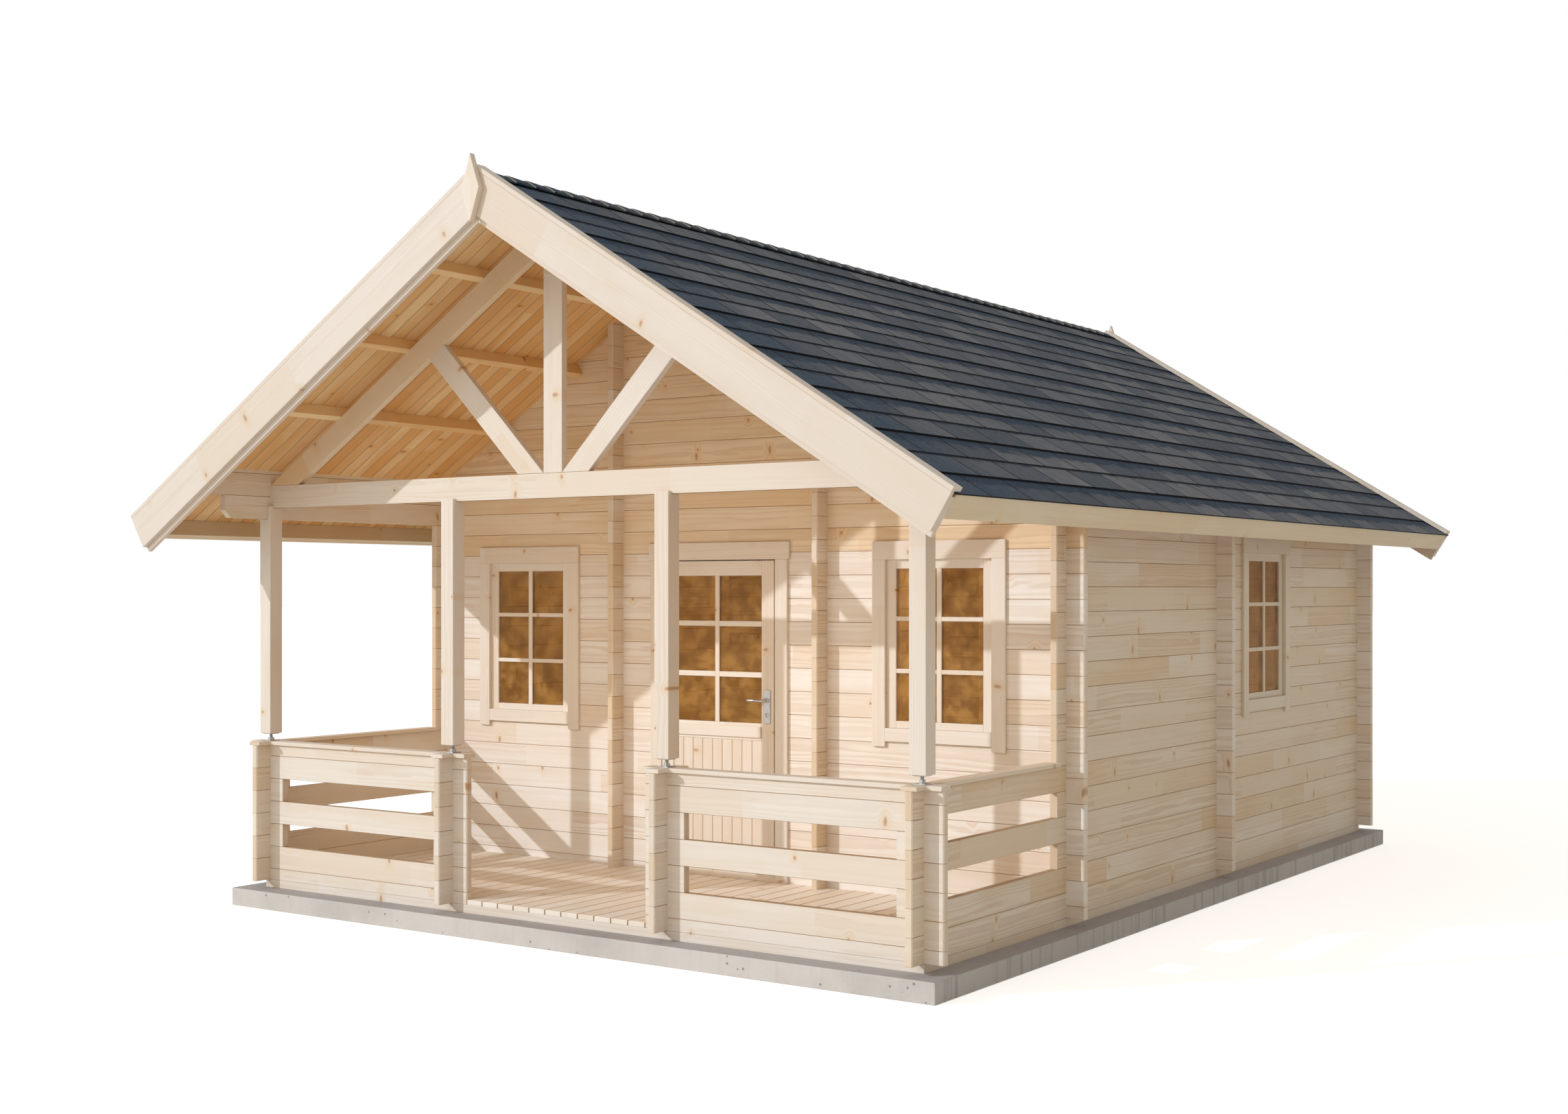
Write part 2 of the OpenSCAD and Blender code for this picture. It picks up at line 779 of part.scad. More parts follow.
module at_rear_window() {
    translate([0, rear_y, window_z]) rotate([0, 0, 180]) children();
}
module front_windows() {
    color("antiquewhite") at_front_windows() window();
}
module side_windows() {
    color("antiquewhite") at_side_windows() window();
}
module rear_window() {
    color("antiquewhite") at_rear_window() window();
}
module window_glass() {
    color("lightsteelblue") {
        at_front_windows() glazing();
        at_side_windows() glazing();
        at_rear_window() glazing();
    }
}

// ---- front door, about the foot of the front wall on the house's centre line ----
opening_half = leaf_w / 2 + door_gap;
leaf_foot = sill_h + door_gap;
leaf_head = head_courses * log_h - jamb_t - door_gap;
leaf_y = -half - casing_t;
stop_y = leaf_y + leaf_t + stop_gap;
module at_door() {
    translate([0, front_y, wall_z]) children();
}
module door_frame() {
    top = leaf_head + door_gap;
    out = opening_half + casing_w;
    color("antiquewhite") at_door() {
        both_sides() {
            box([opening_half, -half, 0], [door_half, half, head_courses * log_h]);
            box([opening_half, leaf_y, floor_t], [out, -half, top]);
            box([opening_half - door_gap - stop_w, stop_y, 0], [opening_half, half, top]);
            box([opening_half, half, floor_t], [out, half + casing_t, top]);
        }
        box([-opening_half, -half, top], [opening_half, half, head_courses * log_h]);
        box([-opening_half, stop_y, top - door_gap - stop_w], [opening_half, half, top]);
        box([-out - head_ear, leaf_y, top], [out + head_ear, -half, top + head_w]);
        box([-out - head_ear, half, top], [out + head_ear, half + casing_t, top + head_w]);
        box([-opening_half, -half, 0], [opening_half, half, sill_h]);
        box([-opening_half, leaf_y, floor_t], [opening_half, -half, sill_h]);
        box([-opening_half, stop_y, 0], [opening_half, half, leaf_foot + stop_w]);
    }
}
handle_x = (leaf_w - stile_w) / 2;
door_glass_w = leaf_w - 2 * stile_w;
door_glass_head = leaf_head - stile_w;
door_glass_foot = door_glass_head - door_glass_h;
module door_leaf() {
    rail_z = door_glass_foot - weather_drop - weather_h;
    color("antiquewhite") at_door() difference() {
        union() {
            box([-leaf_w / 2, leaf_y, leaf_foot], [leaf_w / 2, leaf_y + leaf_t, leaf_head]);
            box([-door_glass_w / 2, leaf_y - weather_t, rail_z],
                [door_glass_w / 2, leaf_y, rail_z + weather_h]);
        }
        box([-door_glass_w / 2, leaf_y - over, door_glass_foot],
            [door_glass_w / 2, leaf_y + leaf_t + over, door_glass_head]);
        translate([handle_x, leaf_y - over, handle_z]) rotate([-90, 0, 0])
            cylinder(h = leaf_t + 2 * over, r = spindle_hole_r);
    }
}
module door_glass() {
    y = leaf_y + (leaf_t - glass_t) / 2;
    color("lightsteelblue") at_door()
        box([-door_glass_w / 2, y, door_glass_foot], [door_glass_w / 2, y + glass_t, door_glass_head]);
}
// Plate, neck and lever, with the door's face at y = 0 and the room or porch at -Y
module handle() {
    box([-plate_w / 2, -plate_t, plate_up - plate_h], [plate_w / 2, 0, plate_up]);
    rotate([90, 0, 0]) cylinder(h = lever_out, r = neck_r);
    translate([lever_r, -lever_out, 0]) rotate([0, -90, 0]) cylinder(h = lever_len, r = lever_r);
}
module door_handles() {
    color("gainsboro") at_door() translate([handle_x, leaf_y, handle_z]) {
        handle();
        translate([0, leaf_t, 0]) mirror([0, 1, 0]) handle();
        box([-spindle / 2, -over, -spindle / 2], [spindle / 2, leaf_t + over, spindle / 2]);
    }
}

// Lift-off hinges: the pins stand on the frame, and the leaf's knuckles drop over them
hinge_x = -(leaf_w + door_gap) / 2;
hinge_y = leaf_y - hinge_out;
module at_hinges() {
    at_door() for (z = hinge_heights) translate([hinge_x, hinge_y, z]) children();
}
module hinge_pins() {
    color("gainsboro") at_hinges() {
        translate([0, 0, -knuckle_h]) cylinder(h = knuckle_h, r = knuckle_r);
        cylinder(h = knuckle_h + knuckle_gap, r = pin_r);
        box([-hinge_plate_w, hinge_out - hinge_plate_t, -knuckle_h], [0, hinge_out, 0]);
    }
}
module hinge_knuckles() {
    color("gainsboro") at_hinges() translate([0, 0, knuckle_gap]) difference() {
        union() {
            cylinder(h = knuckle_h, r = knuckle_r);
            box([0, hinge_out - hinge_plate_t, 0], [hinge_plate_w, hinge_out, knuckle_h]);
        }
        translate([0, 0, -over]) cylinder(h = knuckle_h + 2 * over, r = pin_r + pin_fit);
    }
}

foundation_slab();
ground_beams();
room_floor();
porch_floor();
front_wall_left();
front_wall_right();
front_gable();
rear_wall();
left_wall();
right_wall();
wall_plates();
cross_wall();
hall_walls();
left_rail();
right_rail();
front_rail_left();
front_rail_right();
entrance_log_ends();
porch_posts();
post_screws();
tie_beam();
king_post();
truss_struts();
truss_rafters();
purlins();
ridge_beam();
roof_boards_left();
roof_boards_right();
shingles_left();
shingles_right();
ridge_shingles();
front_barge_boards();
rear_barge_boards();
ridge_finials();
eaves_boards();
front_windows();
side_windows();
rear_window();
window_glass();
door_frame();
door_leaf();
door_glass();
door_handles();
hinge_pins();
hinge_knuckles();
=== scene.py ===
# %% [markdown]
# # A log garden house with a roofed porch
# The real house is a kit: machined spruce logs that lock at the corners, a boarded and
# shingled roof that runs on over a porch, and bought-in windows and a door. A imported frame
# already holds every structural piece at its true size and place. This lesson dresses that
# frame. Timber that the frame has right keeps its mesh and gets a wood finish. Whatever is
# made of many small parts, such as shingles, boards and glazing bars, is built here.

# %% Load the frame
import math
import bmesh
import bpy
from functools import partialmethod
from mathutils import Matrix, Vector


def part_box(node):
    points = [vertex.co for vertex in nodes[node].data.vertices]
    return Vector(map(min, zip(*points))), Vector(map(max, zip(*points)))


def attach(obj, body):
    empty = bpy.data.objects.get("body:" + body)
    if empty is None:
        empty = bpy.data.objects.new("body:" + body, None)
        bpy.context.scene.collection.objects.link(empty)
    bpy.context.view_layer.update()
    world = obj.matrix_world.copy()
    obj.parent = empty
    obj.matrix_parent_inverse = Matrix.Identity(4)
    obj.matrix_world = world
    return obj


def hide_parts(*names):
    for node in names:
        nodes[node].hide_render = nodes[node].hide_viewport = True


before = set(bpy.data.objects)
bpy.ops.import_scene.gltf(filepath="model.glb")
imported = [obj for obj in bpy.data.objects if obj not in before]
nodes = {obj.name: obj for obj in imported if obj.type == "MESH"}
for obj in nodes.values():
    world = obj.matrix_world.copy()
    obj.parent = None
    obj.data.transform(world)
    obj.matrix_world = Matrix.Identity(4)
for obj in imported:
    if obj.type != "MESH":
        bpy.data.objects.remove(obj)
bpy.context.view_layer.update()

# %% [markdown]
# ## The measures that everything shares
# A joiner sets out a house from a few lines: the centres of the walls, the foot of the
# logs, the height of one course and the pitch of the roof. The places could be typed in
# again for every piece, but then a change would need many edits. Here each line is read
# from the frame where a box gives it, and named once where it doesn't.

# %% Shared measures, in metres
course = 0.140                                      # height of one log course
half_log = 0.022                                    # half the thickness of a log
pitch = math.radians(31.8)
wall_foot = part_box("rear_wall")[0].z
wall_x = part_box("right_wall")[1].x - half_log       # centres of the right-hand wall,
hall_x = 0.7835                                     # of the walls beside the hall,
front_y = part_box("front_wall_right")[0].y + half_log    # of the front wall
rail_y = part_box("tie_beam")[0].y + half_log         # and of the front railing
leaf_lo, leaf_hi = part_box("door_leaf")
roof_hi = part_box("roof_boards_right")[1]
deck_z = roof_hi.z                                  # top of the roof boards at the ridge
eave_u = roof_hi.x / math.cos(pitch)                # length of a roof board down the slope
print("wall foot %.3f, front wall y %.3f, ridge %.3f" % (wall_foot, front_y, deck_z))

# %% [markdown]
# ## A short way to write node trees
# Shader trees and Geometry Nodes trees are both boxes joined by wires. Wiring each box by
# hand takes four lines, so one small class does it in one: it adds a node, and joins or
# sets each named input, depending on whether it is given a wire or a value.

# %% A helper for both kinds of node tree
class Net:
    def __init__(self, tree):
        self.tree = tree

    def set(self, node, inputs):
        for key, value in inputs.items():
            socket = node.inputs[key]
            if isinstance(value, bpy.types.NodeSocket):
                self.tree.links.new(value, socket)
            else:
                socket.default_value = value
        return node

    def add(self, kind, inputs=None, **settings):
        node = self.tree.nodes.new(kind)
        for name, value in settings.items():
            setattr(node, name, value)
        return self.set(node, inputs or {})

    def calc(self, operation, *values):
        node = self.add("ShaderNodeMath", operation=operation)
        self.set(node, dict(enumerate(values)))
        return node.outputs[0]

    times = partialmethod(calc, "MULTIPLY")
    times_plus = partialmethod(calc, "MULTIPLY_ADD")
    plus = partialmethod(calc, "ADD")
    minus = partialmethod(calc, "SUBTRACT")
    over = partialmethod(calc, "DIVIDE")
    absolute = partialmethod(calc, "ABSOLUTE")
    floor = partialmethod(calc, "FLOOR")
    larger = partialmethod(calc, "MAXIMUM")

    def vector(self, *axes):
        """Joins three numbers. A pair stands for a number and the factor that stretches it."""
        axes = [self.times(*a) if isinstance(a, tuple) else a for a in axes]
        return self.add("ShaderNodeCombineXYZ", dict(enumerate(axes))).outputs[0]

    def split(self, vector):
        return self.add("ShaderNodeSeparateXYZ", {0: vector}).outputs

    def step(self, value, low, high):
        node = self.add("ShaderNodeMapRange", {0: value, 1: low, 2: high, 3: 0.0, 4: 1.0})
        node.interpolation_type = "SMOOTHSTEP"
        return node.outputs[0]

    def noise(self, vector, scale, detail=2.0, rough=0.5):
        inputs = {"Vector": vector, "Scale": scale, "Detail": detail, "Roughness": rough}
        return self.add("ShaderNodeTexNoise", inputs).outputs[0]

    def random(self, vector):
        return self.add("ShaderNodeTexWhiteNoise", {0: vector}).outputs

    def blend(self, share, first, second):
        node = self.add("ShaderNodeMix", data_type="RGBA")
        self.set(node, {0: share, 6: first, 7: second})
        return node.outputs[2]

    def coat(self, colour, mask, share, *paint):
        """Lays a paint over a colour where the mask is, at a share of full strength."""
        return self.blend(self.times(mask, share), colour, tone(*paint))

    def bump(self, height, strength, distance):
        values = {"Height": height, "Strength": strength, "Distance": distance}
        return self.add("ShaderNodeBump", values).outputs[0]

    def read(self, attribute):
        return self.add("ShaderNodeAttribute", attribute_name=attribute).outputs

    def direct(self):
        """1 for what the camera sees, also through glass or in a shine, and 0 for the rest."""
        seen = self.add("ShaderNodeLightPath").outputs
        return self.larger(seen["Is Camera Ray"],
                           self.larger(seen["Is Glossy Ray"], seen["Is Transmission Ray"]))


def new_material(name):
    material = bpy.data.materials.new(name)
    material.use_nodes = True
    net = Net(material.node_tree)
    net.shader = material.node_tree.nodes["Principled BSDF"]
    coordinates = net.add("ShaderNodeTexCoord").outputs
    net.place, net.normal = coordinates["Object"], coordinates["Normal"]
    return material, net


def tone(red, green, blue):
    return (red, green, blue, 1.0)


def shade_of(colour, *factors):
    return tone(*[c * f for c, f in zip(colour, factors)])


def tinted(look, pale, warm, **more):
    """A look with other colours for pale and warm wood."""
    return dict(look, pale=tone(*pale), warm=tone(*warm), **more)


print("node helper ready")

# %% [markdown]
# ## Planed spruce
# The house is planed, unpainted spruce: pale cream, with faint growth rings that run along
# each piece, a few knots, and a slightly different tone on every log. A flat picture of
# wood would repeat and would smear over the ends. This finish is solid instead: rings are
# circles round a heart line that runs beside the board, so a face shows long arcs and an
# end shows the curves of the tree. A number for each board moves the pattern and its tone.

# %% The wood recipe
def knots_of(net, along, up, board):
    wide, tall = 0.46, 0.15                         # one chance of a knot in each such cell
    spot = net.vector(net.over(along, wide), net.times_plus(up, 1 / tall, net.times(board, 7.0)),
                      0.0)
    cell = net.add("ShaderNodeTexVoronoi", {"Vector": spot, "Scale": 1.0}, voronoi_dimensions="2D")
    away = net.add("ShaderNodeVectorMath", {0: spot, 1: cell.outputs["Position"]},
                   operation="SUBTRACT").outputs[0]
    luck, size, slant = net.split(cell.outputs["Color"])
    run, rise, _ = net.split(away)
    lean = net.times(rise, net.times_plus(slant, 0.12, -0.06))
    narrow = net.times_plus(size, 1.5 * wide, wide)   # big knots are cut lengthwise
    in_metres = net.vector(net.times(net.plus(run, lean), narrow), net.times(rise, tall), 0.0)
    distance = net.add("ShaderNodeVectorMath", {0: in_metres}, operation="LENGTH").outputs["Value"]
    radius = net.times_plus(size, 0.024, 0.008)
    near = net.over(distance, radius)
    there = net.calc("LESS_THAN", luck, 0.27)
    return [net.times(there, net.minus(1.0, net.step(near, low, high)))
            for low, high in ((0.35, 1.25), (0.6, 4.5))]


def wood(net, along, up, across, board, pale, warm, knot, spread=0.65, patch=0.75,
         figure=0.34, end=None, seam=None):
    dice = net.random(net.vector(board, 3.7, 0.0))
    first, second, third = net.split(dice["Color"])
    moved = net.times_plus(first, 9.0, along)
    core, halo = knots_of(net, moved, up, board)
    sway = net.noise(net.vector((moved, 0.5), board, 0.0), 1.0)
    heart_up = net.plus(up, net.times_plus(second, 0.09, net.times_plus(sway, 0.10, -0.095)))
    heart_across = net.plus(across, net.times_plus(third, 0.03, 0.028))
    radius = net.calc("SQRT",
                      net.times_plus(heart_up, heart_up, net.times(heart_across, heart_across)))
    ripple = net.noise(net.vector((moved, 2.2), (up, 26.0), (across, 26.0)), 1.0, 3.0)
    bent = net.times_plus(ripple, 0.010, net.times_plus(halo, 0.011, radius))
    turn = net.calc("FRACT", net.over(bent, 0.0085))
    ring = net.times(net.step(turn, 0.25, 0.9), net.minus(1.0, net.step(turn, 0.93, 1.0)))
    fibre = net.noise(net.vector((moved, 5.0), (up, 240.0), (across, 240.0)), 1.0)
    cloud = net.noise(net.vector((moved, 1.3), (up, 7.0), board), 1.0, 3.0)
    length = net.floor(net.over(moved, 0.95))
    ruddy, marked, _ = net.split(net.random(net.vector(board, length, 1.0))["Color"])
    colour = net.blend(net.times(dice["Value"], spread), pale, warm)
    colour = net.blend(net.times(net.step(ruddy, 0.45, 1.0), patch), colour,
                       shade_of(warm, 0.96, 0.88, 0.77))
    colour = net.blend(net.step(cloud, 0.40, 0.72), colour, warm)
    rings = net.times(ring, net.times_plus(marked, figure, 0.06))
    depth = net.times_plus(fibre, 0.12, rings)
    colour = net.blend(depth, colour, shade_of(warm, 0.72, 0.58, 0.44))
    colour = net.blend(net.times(halo, 0.45), colour, shade_of(warm, 0.95, 0.80, 0.60))
    colour = net.blend(net.times(core, 0.82), colour, knot)
    if end is not None:
        sawn = net.times(end, net.times_plus(third, 0.55, -0.03))
        colour = net.blend(sawn, colour, shade_of(warm, 0.82, 0.68, 0.52))
    if seam is not None:
        colour = net.blend(seam, colour, tone(0.44, 0.275, 0.145))
    rough = net.times_plus(fibre, 0.16, net.times_plus(ring, -0.10, 0.54))
    relief = net.plus(net.times(ring, -0.5), fibre)
    net.set(net.shader, {"Base Color": colour, "IOR": 1.4, "Roughness": rough,
                         "Normal": net.bump(relief, 0.35, 0.0007)})


spruce = dict(pale=tone(0.895, 0.85, 0.81), warm=tone(0.85, 0.765, 0.69),
              knot=tone(0.47, 0.25, 0.12))
honey = dict(pale=tone(0.98, 0.80, 0.49), warm=tone(0.80, 0.46, 0.175),
             knot=tone(0.33, 0.14, 0.05), spread=0.95)
print("wood recipe ready")

# %% [markdown]
# ## Logs, and timbers at any slope
# On a log wall the recipe has to know which log a point is in. Painting that in by hand
# would mean a mask for every wall. The courses are level and all of one height, so the
# height over the wall foot, divided by a course, gives the log's number. Walls along the
# front start with half a log, so theirs is shifted by half. The same height also gives the
# fine dark line where two logs meet. A timber in the roof has its own angle, so its finish
# measures along that angle, with both sides of the house taken as one.

# %% Log and timber finishes
def log_finish(name, direction, look=spruce):
    material, net = new_material(name)
    x, y, z = net.split(net.place)
    shift = 0.5 if direction == "x" else 0.0
    along, across = (x, y) if direction == "x" else (y, x)
    height = net.times_plus(z, 1 / course, shift - wall_foot / course)
    number = net.floor(height)
    within = net.minus(net.minus(height, number), 0.5)
    up = net.times(within, course)
    wall = net.floor(net.times_plus(across, 1.3, 0.5))
    inside = net.minus(across, net.over(wall, 1.3))
    to_seam = net.minus(course / 2, net.absolute(up))
    seam = net.minus(1.0, net.step(to_seam, 0.0005, 0.0019))
    facing = net.split(net.normal)
    end = net.step(net.absolute(facing[0 if direction == "x" else 1]), 0.75, 0.95)
    board = net.times_plus(wall, 13.0, number)
    wood(net, along, up, inside, board, end=end, seam=seam, **look)
    return material


def timber_finish(name, direction, look=spruce):
    """direction is y, or an angle above level, in degrees, in the plane of the porch front."""
    material, net = new_material(name)
    x, y, z = net.split(net.place)
    if direction == "y":
        along, up, across = y, x, z
    else:
        out = net.absolute(x)
        c, s = math.cos(math.radians(direction)), math.sin(math.radians(direction))
        along = net.times_plus(out, c, net.times(z, s))
        up = net.times_plus(out, -s, net.times(z, c))
        across = y
    side = net.calc("SIGN", x)
    board = net.times_plus(net.floor(net.times(up, 4.0)), 3.0, side)
    wood(net, along, up, across, board, **look)
    return material


# Light browns bare spruce, so what stands in front of the porch is a little darker. The
# gable and the rafters under the roof get a warmer, more orange copy of the wood, which is
# painted shade: it stands for warm light thrown back into the shade. On the long sides the
# logs differ more from one to the next.
exposed = tinted(spruce, (0.82, 0.745, 0.68), (0.785, 0.675, 0.565), patch=0.45, figure=0.18)
shaded_spruce = tinted(spruce, (0.865, 0.735, 0.575), (0.82, 0.635, 0.425))
side_logs = tinted(spruce, (0.865, 0.79, 0.715), (0.785, 0.66, 0.515),
                   spread=0.85, patch=0.95, figure=0.42)


def dress(names, finish):
    for name in names:
        nodes[name].data.materials.clear()
        nodes[name].data.materials.append(finish)
    print("%-22s on %s" % (finish.name, ", ".join(names)))


dress(["front_wall_left", "front_wall_right", "rear_wall", "cross_wall"],
      log_finish("front_logs", "x"))
dress(["left_wall", "right_wall", "wall_plates", "hall_walls", "left_rail", "right_rail"],
      log_finish("side_logs", "y", side_logs))
# The gable's warmer copy of the wood is painted shade.
dress(["front_gable"], log_finish("gable_logs", "x", shaded_spruce))
dress(["front_rail_left", "front_rail_right", "tie_beam"], log_finish("rail_logs", "x", exposed))
dress(["entrance_log_ends"], log_finish("entrance_logs", "y", exposed))

# %% [markdown]
# ## Boards that know their own grain
# Windows, doors and trims are made of boards that lie every way: upright, level and along
# the roof slope. Grain has to follow each board, so one pattern in house coordinates won't
# do. A UV map could carry it, but solid wood needs three numbers. Each board is therefore
# made with an attribute, grain, that holds length, width and thickness in metres from its
# own middle, and another, tone, that is one number for the whole board. A plane takes a
# hair off every edge, because real boards are never sharp and soft edges catch the light.

# %% The board maker
def unique(items):
    """Each item once, in the order they come. A set would shuffle them from run to run."""
    return list(dict.fromkeys(items))


def plane_edges(mesh, geom, width, **more):
    return bmesh.ops.bevel(mesh, geom=geom, offset=width, segments=2, profile=0.6,
                           affect="EDGES", **more)["verts"]


class Joinery:
    """Collects boards in one mesh."""
    def __init__(self):
        self.mesh = bmesh.new()
        self.grain = self.mesh.verts.layers.float_vector.new("grain")
        self.tone = self.mesh.verts.layers.float.new("tone")
        self.count = 0

    def board(self, low, high, edge=0.002, along=None, place=None, cuts=()):
        low, high = Vector(low), Vector(high)
        size = high - low
        order = sorted(range(3), key=lambda i: -size[i])
        if along is not None:
            order = [along] + [i for i in order if i != along]
        made = bmesh.ops.create_cube(self.mesh, size=1.0)["verts"]
        for v in made:
            v.co = Vector(v.co[i] * size[i] for i in range(3))
        if edge:
            lines = unique(e for v in made for e in v.link_edges)
            made = plane_edges(self.mesh, made + lines, edge, clamp_overlap=True)
        middle = (low + high) / 2
        for v in made:
            v[self.grain] = Vector(v.co[i] for i in order)
            v[self.tone] = self.count * 1.37
            v.co = v.co + middle
            if place is not None:
                v.co = place @ v.co
        self.count += 1
        for point, normal in cuts:
            self.cut(made, Vector(point), Vector(normal))

    def cut(self, verts, point, normal):
        """Saws off what is beyond a plane, and closes the end."""
        faces = unique(f for v in verts if v.is_valid for f in v.link_faces)
        parts = (faces + unique(e for f in faces for e in f.edges)
                 + unique(v for f in faces for v in f.verts))
        done = bmesh.ops.bisect_plane(self.mesh, geom=parts, plane_co=point, plane_no=normal,
                                      clear_outer=True, dist=1e-6)
        edges = [g for g in done["geom_cut"] if isinstance(g, bmesh.types.BMEdge)]
        bmesh.ops.contextual_create(self.mesh, geom=edges)

    def piece(self, name, finish, slot, body="house", stands_for=()):
        return make_piece(name, self.mesh, finish, body, stands_for)


def skin(mesh, rings):
    """Joins each ring of points to the next with faces."""
    for near, far in zip(rings, rings[1:]):
        for i in range(len(near)):
            j = (i + 1) % len(near)
            mesh.faces.new((near[i], near[j], far[j], far[i]))


def as_object(name, mesh):
    data = bpy.data.meshes.new(name)
    mesh.to_mesh(data)
    mesh.free()
    return bpy.data.objects.new(name, data)


def make_piece(name, mesh, finish, body="house", stands_for=()):
    piece = as_object(name, mesh)
    piece.data.materials.append(finish)
    return settle(piece, body, stands_for)


def link(thing):
    bpy.context.scene.collection.objects.link(thing)


def settle(piece, body="house", stands_for=()):
    """Puts a finished piece in the scene, on its body."""
    if not piece.users_collection:
        link(piece)
    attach(piece, body)
    if stands_for:
        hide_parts(*stands_for)
    print("%-22s %6d faces" % (piece.name, len(piece.data.polygons)))
    return piece


def board_finish(name, look, half_width=None, depth=0.8):
    """With a half width, the joint between neighbours is drawn as a fine dark line."""
    material, net = new_material(name)
    along, up, across = net.split(net.read("grain")["Vector"])
    number = net.read("tone")["Fac"]
    joint = None
    if half_width:
        joint = net.times(net.step(net.absolute(up), half_width - 0.0055, half_width - 0.002),
                          depth)
    wood(net, along, up, across, number, seam=joint, **look)
    return material


planed = board_finish("planed_boards", tinted(exposed, (0.77, 0.69, 0.62), (0.735, 0.625, 0.525)))
joinery_spruce = board_finish("joinery_boards",
                              tinted(exposed, (0.845, 0.79, 0.735), (0.81, 0.72, 0.635)))
print("board finishes:", planed.name, joinery_spruce.name)

# %% [markdown]
# ## Timbers that keep their shape, with planed edges
# Posts, purlins and truss timbers have the right shape in the frame, but their edges are
# perfectly sharp. A CAD mesh must not be changed, so each is copied, its loose triangles
# are merged into flat faces, and only the edges that really turn a corner are bevelled.

# %% Copies with soft edges
def softened(node, edge, finish, name=None):
    copy = bmesh.new()
    copy.from_mesh(nodes[node].data)
    bmesh.ops.remove_doubles(copy, verts=copy.verts, dist=2e-5)
    bmesh.ops.dissolve_limit(copy, angle_limit=math.radians(1.5), verts=copy.verts,
                             edges=copy.edges)
    corners = [e for e in copy.edges if len(e.link_faces) == 2
               and e.calc_face_angle(0.0) > math.radians(25)]
    plane_edges(copy, corners, edge, clamp_overlap=True)
    return make_piece(name or node + "_planed", copy, finish, stands_for=[node])


pale_honey = tinted(honey, (0.97, 0.79, 0.50), (0.92, 0.64, 0.33))
for node, edge, finish_of, finish, direction, look, slot in (
        ("porch_posts", 0.004, timber_finish, "post_spruce", 90, exposed, "planed_spruce"),
        ("king_post", 0.003, timber_finish, "king_post_spruce", 90, exposed, "planed_spruce"),
        ("truss_struts", 0.003, timber_finish, "strut_spruce", 45, exposed, "planed_spruce"),
        # The rafters take the warmer copy too, which is painted shade.
        ("truss_rafters", 0.003, timber_finish, "rafter_spruce", -31.8, shaded_spruce, "planed_spruce"),
        ("purlins", 0.003, timber_finish, "purlin_spruce", "y", pale_honey, "honey_boards"),
        ("ridge_beam", 0.003, timber_finish, "ridge_spruce", "y", pale_honey, "honey_boards"),
        ("ground_beams", 0.002, log_finish, "beam_spruce", "x", exposed, "planed_spruce"),
        ("ridge_finials", 0.003, timber_finish, "finial_spruce", 90, exposed, "planed_spruce")):
    softened(node, edge, finish_of(finish, direction, look))

# %% [markdown]
# ## Rows of the same piece
# Floor boards, roof boards and shingles are laid in rows: one piece, again and again, at
# one spacing. Copies placed in a loop would work, but a Geometry Nodes tree says the rule
# itself, and a change of spacing or count is one number. The tree draws a line of points,
# puts the piece on each, gives each its own tone, makes them real and paints them.

# %% A tree that lays a row
def socket_of(tree, name):
    return next(i.identifier for i in tree.interface.items_tree if i.name == name)


def new_tree(name, inputs):
    """An empty tree with its named inputs. Every tree also takes a seed and a finish."""
    tree = bpy.data.node_groups.new(name, "GeometryNodeTree")
    kinds = {"object": "NodeSocketObject", "count": "NodeSocketInt", "size": "NodeSocketFloat",
             "vector": "NodeSocketVector", "finish": "NodeSocketMaterial"}
    for label, kind in dict(inputs, Seed="count", Finish="finish").items():
        tree.interface.new_socket(label, in_out="INPUT", socket_type=kinds[kind])
    tree.interface.new_socket("Geometry", in_out="OUTPUT", socket_type="NodeSocketGeometry")
    net = Net(tree)
    net.given = net.add("NodeGroupInput").outputs
    return tree, net


def copies(net, points, instance, **more):
    return net.add("GeometryNodeInstanceOnPoints",
                   dict(more, Points=points, Instance=instance)).outputs[0]


def close_tree(net, instances):
    """Gives each copy a tone, then makes the copies real and paints them."""
    dice = net.add("FunctionNodeRandomValue", {"Seed": net.given["Seed"]}, data_type="FLOAT")
    dice.inputs[3].default_value = 100.0
    toned = net.add("GeometryNodeStoreNamedAttribute",
                    {"Geometry": instances, "Name": "tone", "Value": dice.outputs[1]},
                    domain="INSTANCE", data_type="FLOAT")
    real = net.add("GeometryNodeRealizeInstances", {0: toned.outputs[0]})
    painted = net.add("GeometryNodeSetMaterial", {0: real.outputs[0],
                      "Material": net.given["Finish"]})
    net.add("NodeGroupOutput", {0: painted.outputs[0]})


row_tree, net = new_tree("row_of_pieces", {"Piece": "object", "Count": "count", "First": "vector",
                                           "Step": "vector"})
line = net.add("GeometryNodeMeshLine", {"Count": net.given["Count"],
               "Start Location": net.given["First"], "Offset": net.given["Step"]})
copy = net.add("GeometryNodeObjectInfo", {"Object": net.given["Piece"]})
laid = copies(net, line.outputs[0], copy.outputs["Geometry"])
close_tree(net, laid)


def grow(name, tree, values, place=None):
    """Runs a tree and returns its result as a plain mesh, with its place in the mesh."""
    host = bpy.data.objects.new(name + "_host", bpy.data.meshes.new(name))
    link(host)
    modifier = host.modifiers.new("grow", "NODES")
    modifier.node_group = tree
    for label, value in values.items():
        modifier[socket_of(tree, label)] = value
    bpy.context.view_layer.update()
    result = host.evaluated_get(bpy.context.evaluated_depsgraph_get())
    data = bpy.data.meshes.new_from_object(result)
    host.modifiers.remove(modifier)
    bpy.data.objects.remove(host)
    data.materials.clear()
    data.materials.append(values["Finish"])
    for face in data.polygons:
        face.material_index = 0
    if place is not None:
        data.transform(place)
    return bpy.data.objects.new(name, data)


def lay_row(name, piece, count, first, step, seed, finish, place=None):
    values = {"Piece": piece, "Count": count, "First": first, "Step": step, "Seed": seed,
              "Finish": finish}
    return grow(name, row_tree, values, place)


